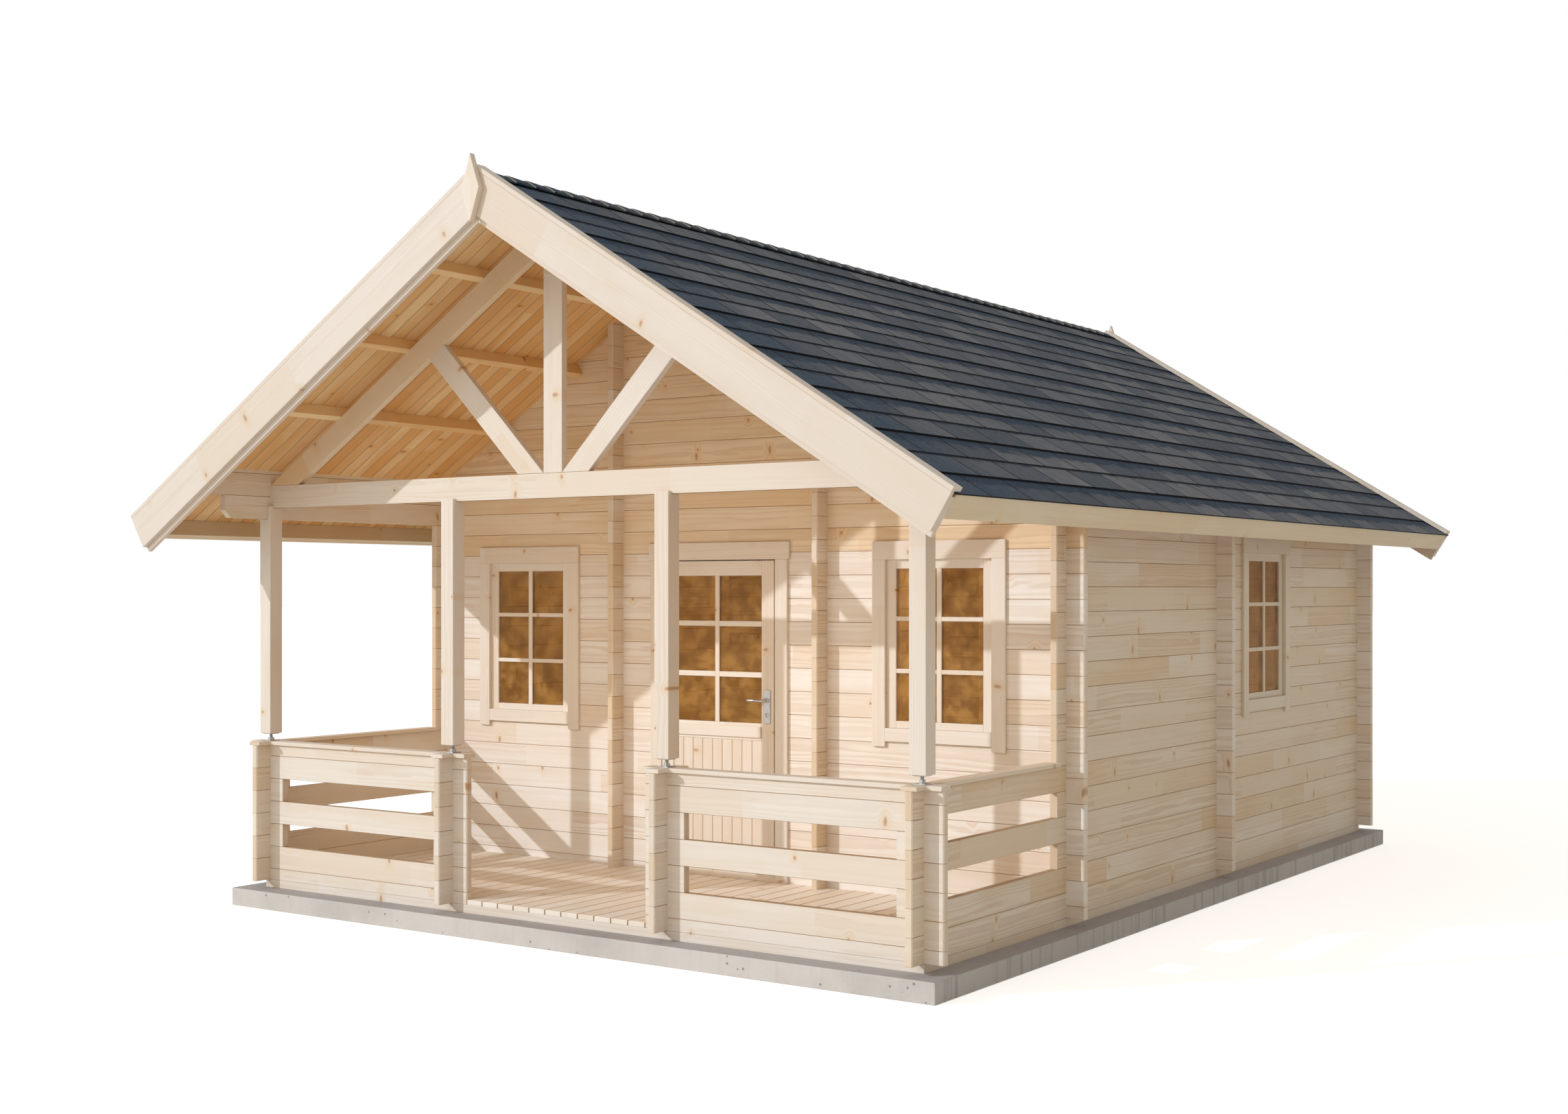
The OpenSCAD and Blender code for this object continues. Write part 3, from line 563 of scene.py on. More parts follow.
def pattern(joinery, name):
    """A single piece that a tree will copy. It isn't shown, and the tree gives it its tone."""
    joinery.mesh.verts.layers.float.remove(joinery.tone)
    return as_object(name, joinery.mesh)


def joined(name, parts, stands_for=()):
    """Several grown meshes as one piece."""
    mesh = bmesh.new()
    for part in parts:
        mesh.from_mesh(part.data)
    finish = parts[0].data.materials[0]
    for part in parts:
        bpy.data.objects.remove(part)
    return make_piece(name, mesh, finish, stands_for=stands_for)


print("tree:", row_tree.name, len(row_tree.nodes), "nodes")

# %% [markdown]
# ## The porch floor
# The porch is boarded from the railing to the house wall, with narrow gaps for rain. A
# plane with painted lines would look flat at the entrance, where the board ends show. One
# board is made and laid in three rows: full length between the entrance posts, and a
# little shorter on both sides, where the railing logs stand on the floor's edge.

# %% Lay the porch boards
floor_lo, floor_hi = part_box("porch_floor")
decking = board_finish("floor_boards", tinted(spruce, (0.95, 0.89, 0.82), (0.92, 0.82, 0.71)),
                       0.059)
rail_back = rail_y + half_log
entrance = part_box("front_rail_right")[0].x


def floor_row(name, x0, x1, y0, count, seed):
    step = (x1 - x0) / count
    one = Joinery()
    one.board((-step / 2 + 0.0025, y0, floor_lo.z), (step / 2 - 0.0025, floor_hi.y, floor_hi.z),
              0.003, along=1)
    return lay_row(name, pattern(one, name + "_board"), count, (x0 + step / 2, 0, 0),
                   (step, 0, 0), seed, decking)


joined("porch_boards", [
    floor_row("middle", -entrance, entrance, floor_lo.y + 0.001, 11, 3),
    floor_row("right", entrance, floor_hi.x - 0.001, rail_back, 14, 4),
    floor_row("left", floor_lo.x + 0.001, -entrance, rail_back, 14, 5)],
    stands_for=["porch_floor"])

# %% [markdown]
# ## The roof boards
# Tongued boards lie side by side down each slope, and their chamfered edges make the
# V-lines of the porch ceiling. Only the underside shows, so drawing lines would nearly do,
# but from close by the grooves have depth. One board is made flat, in the slope's own
# measures, with its top end sawn to meet the other slope at the ridge. A row tree lays it,
# and the whole row is then tipped to the pitch.

# %% Lay the roof boards
def slope_place(side):
    """The slope's own frame: X runs down it from the ridge and Z stands square to it."""
    tip = Matrix.Rotation(pitch, 4, "Y")
    turn = Matrix.Identity(4) if side > 0 else Matrix.Rotation(math.pi, 4, "Z")
    return turn @ Matrix.Translation((0, 0, deck_z)) @ tip


def slopes(stem):
    return (1, stem + "_right"), (-1, stem + "_left")


board_t = 0.018
roof_y = roof_hi.y
count = 82
step = 2 * roof_y / count
honey_boards = board_finish("honey_roof_boards", honey, step / 2, 0.80)
one = Joinery()
one.board((-0.02, -step / 2, -board_t), (eave_u, step / 2, 0), 0.0035, along=0,
          cuts=[((0, 0, 0), (-math.cos(pitch), 0, -math.sin(pitch)))])
ceiling_board = pattern(one, "ceiling_board")
for side, name in slopes("roof_boards"):
    laid = lay_row(name + "_laid", ceiling_board, count, (0, -roof_y + step / 2, 0), (0, step, 0),
                   20 + side, honey_boards, slope_place(side))
    settle(laid, stands_for=[name])

# %% [markdown]
# ## The underlay
# Bitumen felt is rolled out over the boards before the shingles, in strips that lap down
# the slope. Only a dark line of it shows, at the bottom of each slit between two shingle
# tabs. Without it the honey-coloured boards would glow through the slits. One strip is
# a long thin sheet, and the row tree laps four of them.

# %% Roll out the felt
dull = 0.12                                         # shine of felt and slate grains
felt_look, net = new_material("bitumen_felt")
sanded = net.noise(net.place, 240.0, 3.0, 0.6)
net.set(net.shader, {"Base Color": net.blend(sanded, tone(0.010, 0.011, 0.012),
                                             tone(0.030, 0.031, 0.033)),
                     "Roughness": net.times_plus(sanded, 0.1, 0.8),
                     "Specular IOR Level": dull, "Normal": net.bump(sanded, 0.4, 0.0006)})
strips, strip_w, felt_t = 4, 0.95, 0.0006
strip_step = (eave_u - strip_w) / (strips - 1)
one = Joinery()
one.board((0, -roof_y + 0.002, 0.0001), (strip_w, roof_y - 0.002, felt_t), 0, along=1)
felt_strip = pattern(one, "felt_strip")
for side, name in slopes("underlay_felt"):
    settle(lay_row(name, felt_strip, strips, (0, 0, 0), (strip_step, 0, 0.00005), 26 + side,
                   felt_look, slope_place(side)))

# %% [markdown]
# ## The shingles
# Bitumen strips are nailed in sixteen courses, each covering the head of the one below.
# Every strip is slit into tabs, and the slits of one course fall on the middle of the tabs
# below. Every second course is two layers thick, which draws a heavy line along the roof.
# A bump pattern can't throw those shadows, so each tab is a real wedge: thin at its hidden
# head and thick at its free edge. The tree finds every tab's course and place in it from
# its number, and shortens the tabs that the barge boards cut off.

# %% A tree that lays courses of tabs
tabs_tree, net = new_tree("courses_of_tabs", {
    "Thin tab": "object", "Thick tab": "object", "Courses": "count", "Tabs": "count",
    "Exposure": "size", "Tab width": "size", "Slit": "size", "First edge": "size",
    "First joint": "size", "Other joint": "size", "Start": "size", "End": "size"})
give = net.given
total = net.times(give["Courses"], give["Tabs"])
cloud = net.add("GeometryNodePoints", {"Count": total})
number = net.add("GeometryNodeInputIndex").outputs[0]
row = net.floor(net.over(net.plus(number, 0.5), give["Tabs"]))
turn = net.minus(number, net.times(row, give["Tabs"]))
odd = net.calc("MODULO", row, 2.0)
joint = net.plus(give["First joint"],
                 net.times(odd, net.minus(give["Other joint"], give["First joint"])))
left = net.times_plus(turn, give["Tab width"], joint)
half_slit = net.times(give["Slit"], 0.5)
low = net.plus(net.larger(left, give["Start"]), half_slit)
high = net.minus(net.calc("MINIMUM", net.plus(left, give["Tab width"]), give["End"]), half_slit)
width = net.minus(high, low)
down = net.minus(give["First edge"], net.times(row, give["Exposure"]))
place = net.vector(down, net.times(net.plus(low, high), 0.5), 0.0)
whole = net.calc("GREATER_THAN", width, 0.02)
branches = []
for label, wanted in (("Thin tab", 0.0), ("Thick tab", 1.0)):
    mine = net.times(whole, net.calc("COMPARE", odd, wanted, 0.1))
    tab = net.add("GeometryNodeObjectInfo", {"Object": give[label]})
    placed = net.add("GeometryNodeSetPosition", {"Geometry": cloud.outputs[0], "Position": place})
    branches.append(copies(net, placed.outputs[0], tab.outputs["Geometry"], Selection=mine,
                           Scale=net.vector(1.0, width, 1.0)))
both = net.add("GeometryNodeJoinGeometry")
for branch in branches:
    net.tree.links.new(branch, both.inputs[0])
close_tree(net, both.outputs[0])
print("tree:", tabs_tree.name, len(tabs_tree.nodes), "nodes")

# %% [markdown]
# ## The shingle finish
# The strips are covered with crushed slate: blue-grey grains of several shades, lighter
# and darker from tab to tab, with stains and fine streaks that run down the slope. A fine
# cell pattern gives the grains and their bump. The tone that the tree stored shifts each
# tab a little. A bluer strip along the front verge is painted shadow of the barge boards.
# A dark blue band with a ragged edge at the head of each tab is painted shadow of the
# course above, and a black line where the next course covers it is painted shade, which
# makes that course look thicker. Cut edges of the tabs are black bitumen; the pale cut
# edges of the ridge caps are a painted highlight. An attribute, lay, finds these places:
# it measures each tab from its free edge.

# %% Slate-grain finish
def slate_finish(name, cut, wash=0.0):
    material, net = new_material(name)
    run, side, head_shadow = net.split(net.read("lay")["Vector"])
    number = net.read("tone")["Fac"]
    dice = net.random(net.vector(number, 1.0, 2.0))
    grains = net.add("ShaderNodeTexVoronoi", {"Vector": net.place, "Scale": 620.0})
    speck = net.split(grains.outputs["Color"])[0]
    x, y, z = net.split(net.place)
    stain = net.noise(net.vector((x, 1.6), (y, 9.0), z), 1.7, 4.0, 0.62)
    patch = net.noise(net.place, 26.0, 3.0, 0.6)
    streak = net.noise(net.vector((x, 5.0), (y, 85.0), (z, 5.0)), 1.0, 3.0, 0.65)
    # A bluer strip along the front verge is painted shadow of the barge boards.
    verge = net.step(net.times_plus(stain, 1.4, y), 1.6 - roof_y, 1.0 - roof_y)
    ragged = net.noise(net.vector((x, 3.0), y, number), 7.0, 3.0, 0.6)
    start = net.times_plus(ragged, -0.16, net.times_plus(head_shadow, -0.065, 0.265))
    colour = net.blend(dice["Value"], tone(0.070, 0.090, 0.120), tone(0.262, 0.254, 0.266))
    for mask, share, paint in (
            (verge, 0.85, (0.034, 0.078, 0.132)),
            (net.step(streak, 0.50, 0.70), 0.50, (0.050, 0.055, 0.066)),
            (net.step(streak, 0.46, 0.28), 0.30, (0.300, 0.288, 0.282)),
            (net.step(stain, 0.36, 0.74), 0.5, (0.080, 0.095, 0.115)),
            (net.step(patch, 0.50, 0.72), 0.35, (0.165, 0.155, 0.148)),
            # The last mark, a dark blue band at the head of each tab, is painted shadow of the
            # course above.
            (net.step(net.minus(run, start), -0.018, 0.022), 0.90, (0.019, 0.042, 0.078))):
        colour = net.coat(colour, mask, share, *paint)
    colour = net.blend(net.step(speck, 0.86, 0.99), colour, tone(0.20, 0.20, 0.205))
    colour = net.coat(colour, net.step(speck, 0.22, 0.04), 0.6, 0.020, 0.023, 0.028)
    slit = net.step(net.absolute(side), 0.480, 0.487)
    colour = net.coat(colour, slit, 0.9, 0.012, 0.013, 0.015)
    if wash:
        colour = net.blend(wash, colour, tone(0.022, 0.040, 0.062))
    # A black line just below the next course is painted shade.
    line = net.times_plus(head_shadow, 0.007, exposure - 0.018)
    shaded = net.step(net.minus(run, line), -0.004, 0.003)
    colour = net.coat(colour, shaded, 0.92, 0.004, 0.006, 0.009)
    # The cut edge takes the given colour: black bitumen on the tabs, a painted highlight on the
    # ridge caps.
    colour = net.blend(net.step(run, 0.0035, 0.0015), colour, cut)
    relief = net.plus(grains.outputs["Distance"], net.times(patch, 1.5))
    net.set(net.shader, {"Base Color": colour, "Roughness": net.times_plus(speck, -0.2, 0.95),
                         "Normal": net.bump(relief, 0.6, 0.0015), "Specular IOR Level": dull})
    return material


exposure = 0.2066                                   # how much of a course shows
# The tabs' cut edges are black. On the ridge caps they are pale, which is a painted highlight, and
# a dark blue-grey tone lies over each whole cap.
slate = slate_finish("slate_grain", tone(0.006, 0.006, 0.007))
cap_slate = slate_finish("ridge_slate", tone(0.30, 0.26, 0.22), 0.6)
print("slate finishes:", slate.name, cap_slate.name)

# %% [markdown]
# A tab is a wedge, so that its free edge stands up and its head slips under the next
# course. A plain box would lift the whole course. Only two wedges are drawn, a thin and a
# thick one, and the tree lays them all, one slope at a time.

# %% Lay the shingles
tab_head = exposure + 0.055


def tab_pattern(name, edge, head_shadow):
    """A wedge one metre wide, from its hidden head down to its free edge at X = 0."""
    mesh = bmesh.new()
    lay = mesh.verts.layers.float_vector.new("lay")
    outline = [(-tab_head, 0.0), (-tab_head, 0.0008), (-0.004, edge), (0.0, edge - 0.0005),
               (0.0, 0.0)]
    sides = [[mesh.verts.new((u, y, v)) for u, v in outline] for y in (-0.5, 0.5)]
    for v in mesh.verts:
        v[lay] = (-v.co.x, v.co.y, head_shadow)
    mesh.faces.new(sides[0])
    mesh.faces.new(reversed(sides[1]))
    for i in range(len(outline)):
        j = (i + 1) % len(outline)
        mesh.faces.new((sides[0][j], sides[0][i], sides[1][i], sides[1][j]))
    bmesh.ops.recalc_face_normals(mesh, faces=mesh.faces)
    return as_object(name, mesh)


# The last number sets how far the painted shadow reaches down a tab's head: further on the thin
# tabs, which lie under thick courses.
thin_tab, thick_tab = tab_pattern("thin_tab", 0.006, 1.0), tab_pattern("thick_tab", 0.010, 0.0)
shingle_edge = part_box("shingles_right")[1].x / math.cos(pitch)
tab_w, tabs_left = 0.412, 10                        # a tab's width, and tabs left of the middle
for side, name in slopes("shingles"):
    values = {"Thin tab": thin_tab, "Thick tab": thick_tab, "Courses": 16, "Tabs": 21,
              "Exposure": exposure, "Tab width": tab_w, "Slit": 0.003,
              "First edge": shingle_edge - 0.006, "First joint": 0.136 - tab_w * tabs_left,
              "Other joint": -0.065 - tab_w * tabs_left, "Start": -roof_y, "End": roof_y,
              "Seed": 30 + side, "Finish": slate}
    grown = grow(name + "_laid", tabs_tree, values, slope_place(side))
    settle(grown, stands_for=[name])

# %% [markdown]
# ## The ridge caps
# Short strips are folded over the ridge, each lapping the one in front of it. A single long
# fold would be simpler, but the ridge of the real roof is stepped, and every lap shows its
# cut edge, which is painted pale as a painted highlight. One folded cap is drawn as a bent
# strip, thicker at its free end, and the row tree repeats it.

# %% Fold and lay the ridge caps
cap_length, cap_half, cap_foot = 0.235, 0.088, 0.010
fold_half, fold_lift = 0.014, 0.0045                # half width and height of the rounded top


def fold(v):
    """Points across the ridge at a height above the boards, with a rounded fold."""
    points = [(side * (u * math.cos(pitch) + v * math.sin(pitch)),
               deck_z - u * math.sin(pitch) + v * math.cos(pitch))
              for side, u in ((-1, cap_half), (-1, fold_half), (1, fold_half), (1, cap_half))]
    return points[:2] + [(0.0, points[1][1] + fold_lift)] + points[2:]


def cap_pattern():
    mesh = bmesh.new()
    lay = mesh.verts.layers.float_vector.new("lay")
    rings = []
    for y, thick in ((0.0, 0.013), (0.004, 0.013), (cap_length, 0.0012)):
        under, over = fold(cap_foot), fold(cap_foot + thick)
        rings.append([mesh.verts.new((x, y, z)) for x, z in over + under[::-1]])
        for v in rings[-1]:
            v[lay] = (y, 0.0, 0.0)
    skin(mesh, rings)
    count = len(rings[0])
    for i in range(4):
        for ring in (rings[0], rings[-1]):
            mesh.faces.new((ring[i], ring[i + 1], ring[count - 2 - i], ring[count - 1 - i]))
    bmesh.ops.recalc_face_normals(mesh, faces=mesh.faces)
    return as_object("ridge_cap", mesh)


ridge_lo, ridge_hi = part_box("ridge_shingles")
caps = 50
lap = (ridge_hi.y - ridge_lo.y - cap_length) / (caps - 1)
settle(lay_row("ridge_caps", cap_pattern(), caps, (0, ridge_lo.y, 0), (0, lap, 0), 44, cap_slate),
       stands_for=["ridge_shingles"])

# %% [markdown]
# ## Barge boards and eaves boards
# Wide boards close the roof's edges: at each gable an outer board, an inner one that hangs
# a little lower, and a strip on top; along each eave a fascia with a batten behind it. The
# copies used for the posts would do, but then all of a gable would share one grain. Made
# as boards in the slope's frame and sawn upright at the ridge, each keeps its own.

# %% Make the roof trim
eave_end = 2.868 / math.cos(pitch)                  # where barge boards and fascia end
mitre = 0.001                                       # half the joint at the ridge


def trim(name, parts, stands_for, finish=planed):
    wood_shop = Joinery()
    for side in (1, -1):
        for low, high, edge in parts:
            wood_shop.board(low, high, edge, along=0 if high[0] - low[0] > 1 else 1,
                            place=slope_place(side),
                            cuts=[((side * mitre, 0, 0), (-side, 0, 0))])
    return wood_shop.piece(name, finish, "planed_spruce", stands_for=[stands_for])


def barge_parts(front):
    """Boards in the right slope's frame; front is True for the -Y gable."""
    y0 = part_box("front_barge_boards")[0].y
    rows = [((-0.05, y0, -0.197), (eave_end, y0 + 0.028, 0.008), 0.003),
            ((-0.05, y0, 0.008), (eave_end, y0 + 0.080, 0.033), 0.003),
            ((-0.05, y0 + 0.028, -0.227), (eave_end, y0 + 0.056, -0.018), 0.003)]
    if front:
        return rows
    return [((a[0], -b[1], a[2]), (b[0], -a[1], b[2]), edge) for a, b, edge in rows]


def eaves_parts():
    y0, y1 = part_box("eaves_boards")[0].y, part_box("eaves_boards")[1].y
    return [((eave_end - 0.020, y0 + 0.029, -0.130), (eave_end, y1 - 0.029, 0.0), 0.0025),
            ((eave_end - 0.048, y0 + 0.029, -0.130), (eave_end - 0.0205, y1 - 0.029, -0.019),
             0.002)]


trim("barge_boards_front", barge_parts(True), "front_barge_boards")
trim("barge_boards_rear", barge_parts(False), "rear_barge_boards")
# The eaves boards get a yellower, warmer copy of the wood, which is painted shade: it stands for
# warm light thrown back under the eaves.
eaves_shade_look = tinted(exposed, (0.765, 0.66, 0.50), (0.725, 0.585, 0.41))
trim("eaves_trim", eaves_parts(), "eaves_boards", board_finish("eaves_spruce", eaves_shade_look))

# %% [markdown]
# ## The windows
# Each window is a frame in the logs, a sash set a little back in it, casing boards on both
# faces and a cross of thin bars on the glass. A copy of the frame's node would have one
# grain direction for uprights and rails alike. So every member is a board of its own, in
# the window's own measures, and one function serves all five windows and both faces.

# %% A window in its own measures: X across, Y from outside in, Z up from the opening's foot
def on_both_faces(shop, low, high, edge, place):
    """A board on the outer face and its twin on the inner face."""
    shop.board(low, high, edge, place=place)
    shop.board((low[0], -high[1], low[2]), (high[0], -low[1], high[2]), edge, place=place)


def window(shop, place):
    half, face = 0.393, half_log
    sash, glass = 0.350, 0.287                       # half widths of sash and glass
    foot, glass_foot, glass_head, head = 0.088, 0.130, 1.015, 1.068
    top, casing, proud, head_board = 1.120, 0.438, 0.042, 0.108
    for s in (-1, 1):
        inner, outer = sorted((s * sash, s * half))
        shop.board((inner, -face, 0), (outer, face, top), 0.0015, place=place)
        inner, outer = sorted((s * glass, s * sash))
        shop.board((inner, -face + 0.004, foot), (outer, face, head), 0.003, place=place)
        inner, outer = sorted((s * sash, s * casing))
        on_both_faces(shop, (inner, -proud, -0.022), (outer, -face, head), 0.003, place)
    shop.board((-sash, -face, head), (sash, face, top), 0.0015, place=place)
    shop.board((-sash, -face, 0), (sash, face, foot), 0.0015, place=place)
    shop.board((-glass, -face + 0.004, foot), (glass, face, glass_foot), 0.003, place=place)
    shop.board((-glass, -face + 0.004, glass_head), (glass, face, head), 0.003, place=place)
    on_both_faces(shop, (-casing, -proud, head), (casing, -face, head + head_board), 0.003, place)
    on_both_faces(shop, (-sash, -proud, 0.010), (sash, -face, foot), 0.003, place)
    for y0, y1 in ((-0.0175, -0.0082), (0.0082, 0.0175)):
        bars(shop, glass, glass_foot, glass_head, y0, y1, 0.033, 0.026, place)


def bars(shop, half, foot, head, y0, y1, upright, level, place):
    """One upright bar and two level ones, on one face of the glass."""
    shop.board((-upright / 2, y0, foot), (upright / 2, y1, head), 0.0035, place=place)
    pane = (head - foot - 2 * level) / 3
    for k in (1, 2):
        z = foot + k * pane + (k - 1) * level
        for s in (-1, 1):
            inner, outer = sorted((s * upright / 2, s * half))
            shop.board((inner, y0, z), (outer, y1, z + level), 0.0035, place=place)


def stand(x, y, z, turn):
    return Matrix.Translation((x, y, z)) @ Matrix.Rotation(math.radians(turn), 4, "Z")


front_foot = wall_foot + 6.5 * course
window_x = (wall_x + hall_x) / 2
side_y = sum(c.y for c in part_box("side_windows")) / 2
rear_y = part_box("rear_wall")[1].y - half_log
print("window feet at %.3f, side windows at y %.3f" % (front_foot, side_y))

side_joinery = board_finish("side_joinery",
                            tinted(exposed, (0.80, 0.72, 0.615), (0.76, 0.65, 0.52)))
side_foot = front_foot + course / 2
for name, finish, node, places in (
        ("front_window_joinery", joinery_spruce, "front_windows",
         [(s * window_x, front_y, front_foot, 0) for s in (-1, 1)]),
        ("side_window_joinery", side_joinery, "side_windows",
         [(s * wall_x, side_y, side_foot, 90 * s) for s in (-1, 1)]),
        ("rear_window_joinery", joinery_spruce, "rear_window", [(0, rear_y, front_foot, 180)])):
    shop = Joinery()
    for place in places:
        window(shop, stand(*place))
    shop.piece(name, finish, "door_and_windows", stands_for=[node])

# %% [markdown]
# ## The door frame and the door
# The door hangs outside the logs, in line with the casing boards. Its leaf is a frame of
# stiles and rails with six panes above and upright boards below, and a weather rail throws
# rain clear of the boards. A carved block would look like plastic at the joints. Each
# member is a board again, and the leaf's boards form one mesh that rides on the door.

# %% Make the door frame
jamb_in, jamb_out, casing_w, stop_w = 0.437, 0.480, 0.088, 0.019
door_top = leaf_hi.z + 0.007
head_top = wall_foot + 14.5 * course
log_out, log_in = front_y - half_log, front_y + half_log
casing_y, casing_in = front_y - 0.042, front_y + 0.042      # the casings' outer faces
stop_y, sill_z = casing_y + 0.045, wall_foot + 0.068
ear, stop_in = jamb_in + casing_w + 0.015, jamb_in - stop_w
casing_foot, casing_head = wall_foot + 0.028, door_top + 0.108
shop = Joinery()
for s in (-1, 1):
    for x0, x1, y0, y1, z0, z1, edge in (
            (jamb_in, jamb_out, log_out, log_in, wall_foot, head_top, 0.0015),
            (jamb_in, jamb_in + casing_w, casing_y, log_out, casing_foot, door_top, 0.003),
            (jamb_in, jamb_in + casing_w, log_in, casing_in, casing_foot, door_top, 0.003),
            (stop_in, jamb_in, stop_y, log_in, wall_foot, door_top, 0.002)):
        inner, outer = sorted((s * x0, s * x1))
        shop.board((inner, y0, z0), (outer, y1, z1), edge)
for half, y0, y1, z0, z1, edge in (
        (jamb_in, log_out, log_in, door_top, head_top, 0.0015),
        (ear, casing_y, log_out, door_top, casing_head, 0.003),
        (ear, log_in, casing_in, door_top, casing_head, 0.003),
        (stop_in, stop_y, log_in, door_top - stop_w, door_top, 0.002),
        (jamb_in, casing_y, log_out, casing_foot, sill_z, 0.004),
        (jamb_in, log_out, log_in, wall_foot, sill_z, 0.002),
        (stop_in, stop_y, log_in, sill_z, leaf_lo.z + 0.012, 0.002)):
    shop.board((-half, y0, z0), (half, y1, z1), edge)
shop.piece("door_frame_joinery", joinery_spruce, "door_and_windows", stands_for=["door_frame"])

# %% [markdown]
# The leaf is built round its glass, so the pane's box gives the members their places. The
# weather rail is a board of its own that stands proud of the face.

# %% Make the door leaf
face, back = casing_y, casing_y + 0.040
glass_w = 0.339
pane_lo, pane_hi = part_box("door_glass")
shop = Joinery()
for s in (-1, 1):
    inner, outer = sorted((s * glass_w, s * 0.430))
    shop.board((inner, face, leaf_lo.z), (outer, back, leaf_hi.z), 0.003)
for y0, y1, z0, z1, edge in (
        (face, back, pane_hi.z, leaf_hi.z, 0.003),
        (face, back, pane_lo.z - 0.105, pane_lo.z, 0.003),
        (face, back, leaf_lo.z, leaf_lo.z + 0.110, 0.003),
        (leaf_lo.y, face + 0.002, pane_lo.z - 0.088, pane_lo.z - 0.020, 0.006)):
    shop.board((-glass_w, y0, z0), (glass_w, y1, z1), edge)
for y0, y1 in ((face + 0.004, pane_lo.y - 0.0002), (pane_hi.y + 0.0002, back - 0.004)):
    bars(shop, glass_w, pane_lo.z, pane_hi.z, y0, y1, 0.033, 0.033, Matrix.Identity(4))
print("door leaf glass: %.3f m wide" % (2 * glass_w))

# %% [markdown]
# ## The boards in the lower door
# Nine narrow boards stand side by side in the lower panel, each with a chamfer that makes
# a V with its neighbour. They repeat, so the row tree lays them too.

# %% Lay the panel boards
count = 9
step = 2 * glass_w / count
one = Joinery()
one.board((-step / 2, face + 0.005, leaf_lo.z + 0.108), (step / 2, back - 0.005, pane_lo.z - 0.103),
          0.004, along=2)
panel = lay_row("panel_boards", pattern(one, "panel_board"), count, (-glass_w + step / 2, 0, 0),
                (step, 0, 0), 51, board_finish("panel_spruce", exposed, step / 2, 0.5))
shop.piece("door_leaf_joinery", joinery_spruce, "door_and_windows", "front_door", ["door_leaf"])
settle(panel, "front_door")

# %% [markdown]
# ## Satin steel
# The handle, the hinges and the post screws are brushed or galvanised steel. Smooth grey
# metal looks like a mirror ball in a white room. Fine noise stretched along the brushing
# varies the roughness, and a slow cloud of tone breaks up the larger faces.

# %% Steel finish and the door handle
def steel_finish(name, colour, rough):
    material, net = new_material(name)
    x, y, z = net.split(net.place)
    brushed = net.noise(net.vector((x, 1400.0), (y, 1400.0), (z, 90.0)), 1.0, 2.0)
    cloud = net.noise(net.place, 60.0, 2.0)
    shade = net.blend(net.step(cloud, 0.35, 0.7), tone(*colour), shade_of(colour, 0.82, 0.82, 0.82))
    net.set(net.shader,
            {"Base Color": shade, "Metallic": 1.0, "Normal": net.bump(brushed, 0.15, 0.0003),
             "Roughness": net.times_plus(brushed, 0.16, rough)})
    return material


satin = steel_finish("satin_steel", (0.62, 0.60, 0.57), 0.26)
galvanised = steel_finish("galvanised_steel", (0.46, 0.44, 0.41), 0.38)
print("steel finishes:", satin.name, galvanised.name)

# %% [markdown]
# A lever handle is a plate, a neck and a bar that turns the corner. The bar is a chain of
# rounded sections along a bent line, which gives a smooth corner that two crossed
# cylinders would not. The same shape, turned, makes the inner handle.

# %% Make the handles
def tube(mesh, points, radius, sides):
    """A rounded bar along a line of points, with domed ends."""
    rings = []
    points = [Vector(p) for p in points]
    steps = [(points[0], 0.0), (points[0], 0.72)]
    steps += [(p, 1.0) for p in points[1:-1]] + [(points[-1], 0.72), (points[-1], 0.0)]
    for i, (point, share) in enumerate(steps):
        k = min(max(i - 1, 0), len(points) - 1)
        ahead = points[min(k + 1, len(points) - 1)] - points[max(k - 1, 0)]
        turn = ahead.to_track_quat("Z", "X")
        ring = []
        for j in range(sides):
            a = 2 * math.pi * j / sides
            at = Vector((math.cos(a) * radius, math.sin(a) * radius, 0)) * max(share, 1e-3)
            ring.append(mesh.verts.new(point + turn @ at))
        rings.append(ring)
    skin(mesh, rings)
    mesh.faces.new(reversed(rings[0]))
    mesh.faces.new(rings[-1])


def rounded_plate(mesh, low, high, corner, edge):
    """A plate in X and Z with rounded corners, and a softened rim."""
    made = bmesh.ops.create_cube(mesh, size=1.0)["verts"]
    low, high = Vector(low), Vector(high)
    for v in made:
        v.co = Vector(low[i] + (v.co[i] + 0.5) * (high[i] - low[i]) for i in range(3))
    upright = [e for e in unique(e for v in made for e in v.link_edges)
               if abs(e.verts[0].co.y - e.verts[1].co.y) > 1e-5]
    done = bmesh.ops.bevel(mesh, geom=upright, offset=corner, segments=5, profile=0.5,
                           affect="EDGES")
    faces = unique(f for v in done["verts"] for f in v.link_faces)
    rim = [e for e in unique(e for f in faces for e in f.edges)
           if len(e.link_faces) == 2 and e.calc_face_angle(0.0) > math.radians(60)]
    plane_edges(mesh, rim, edge)


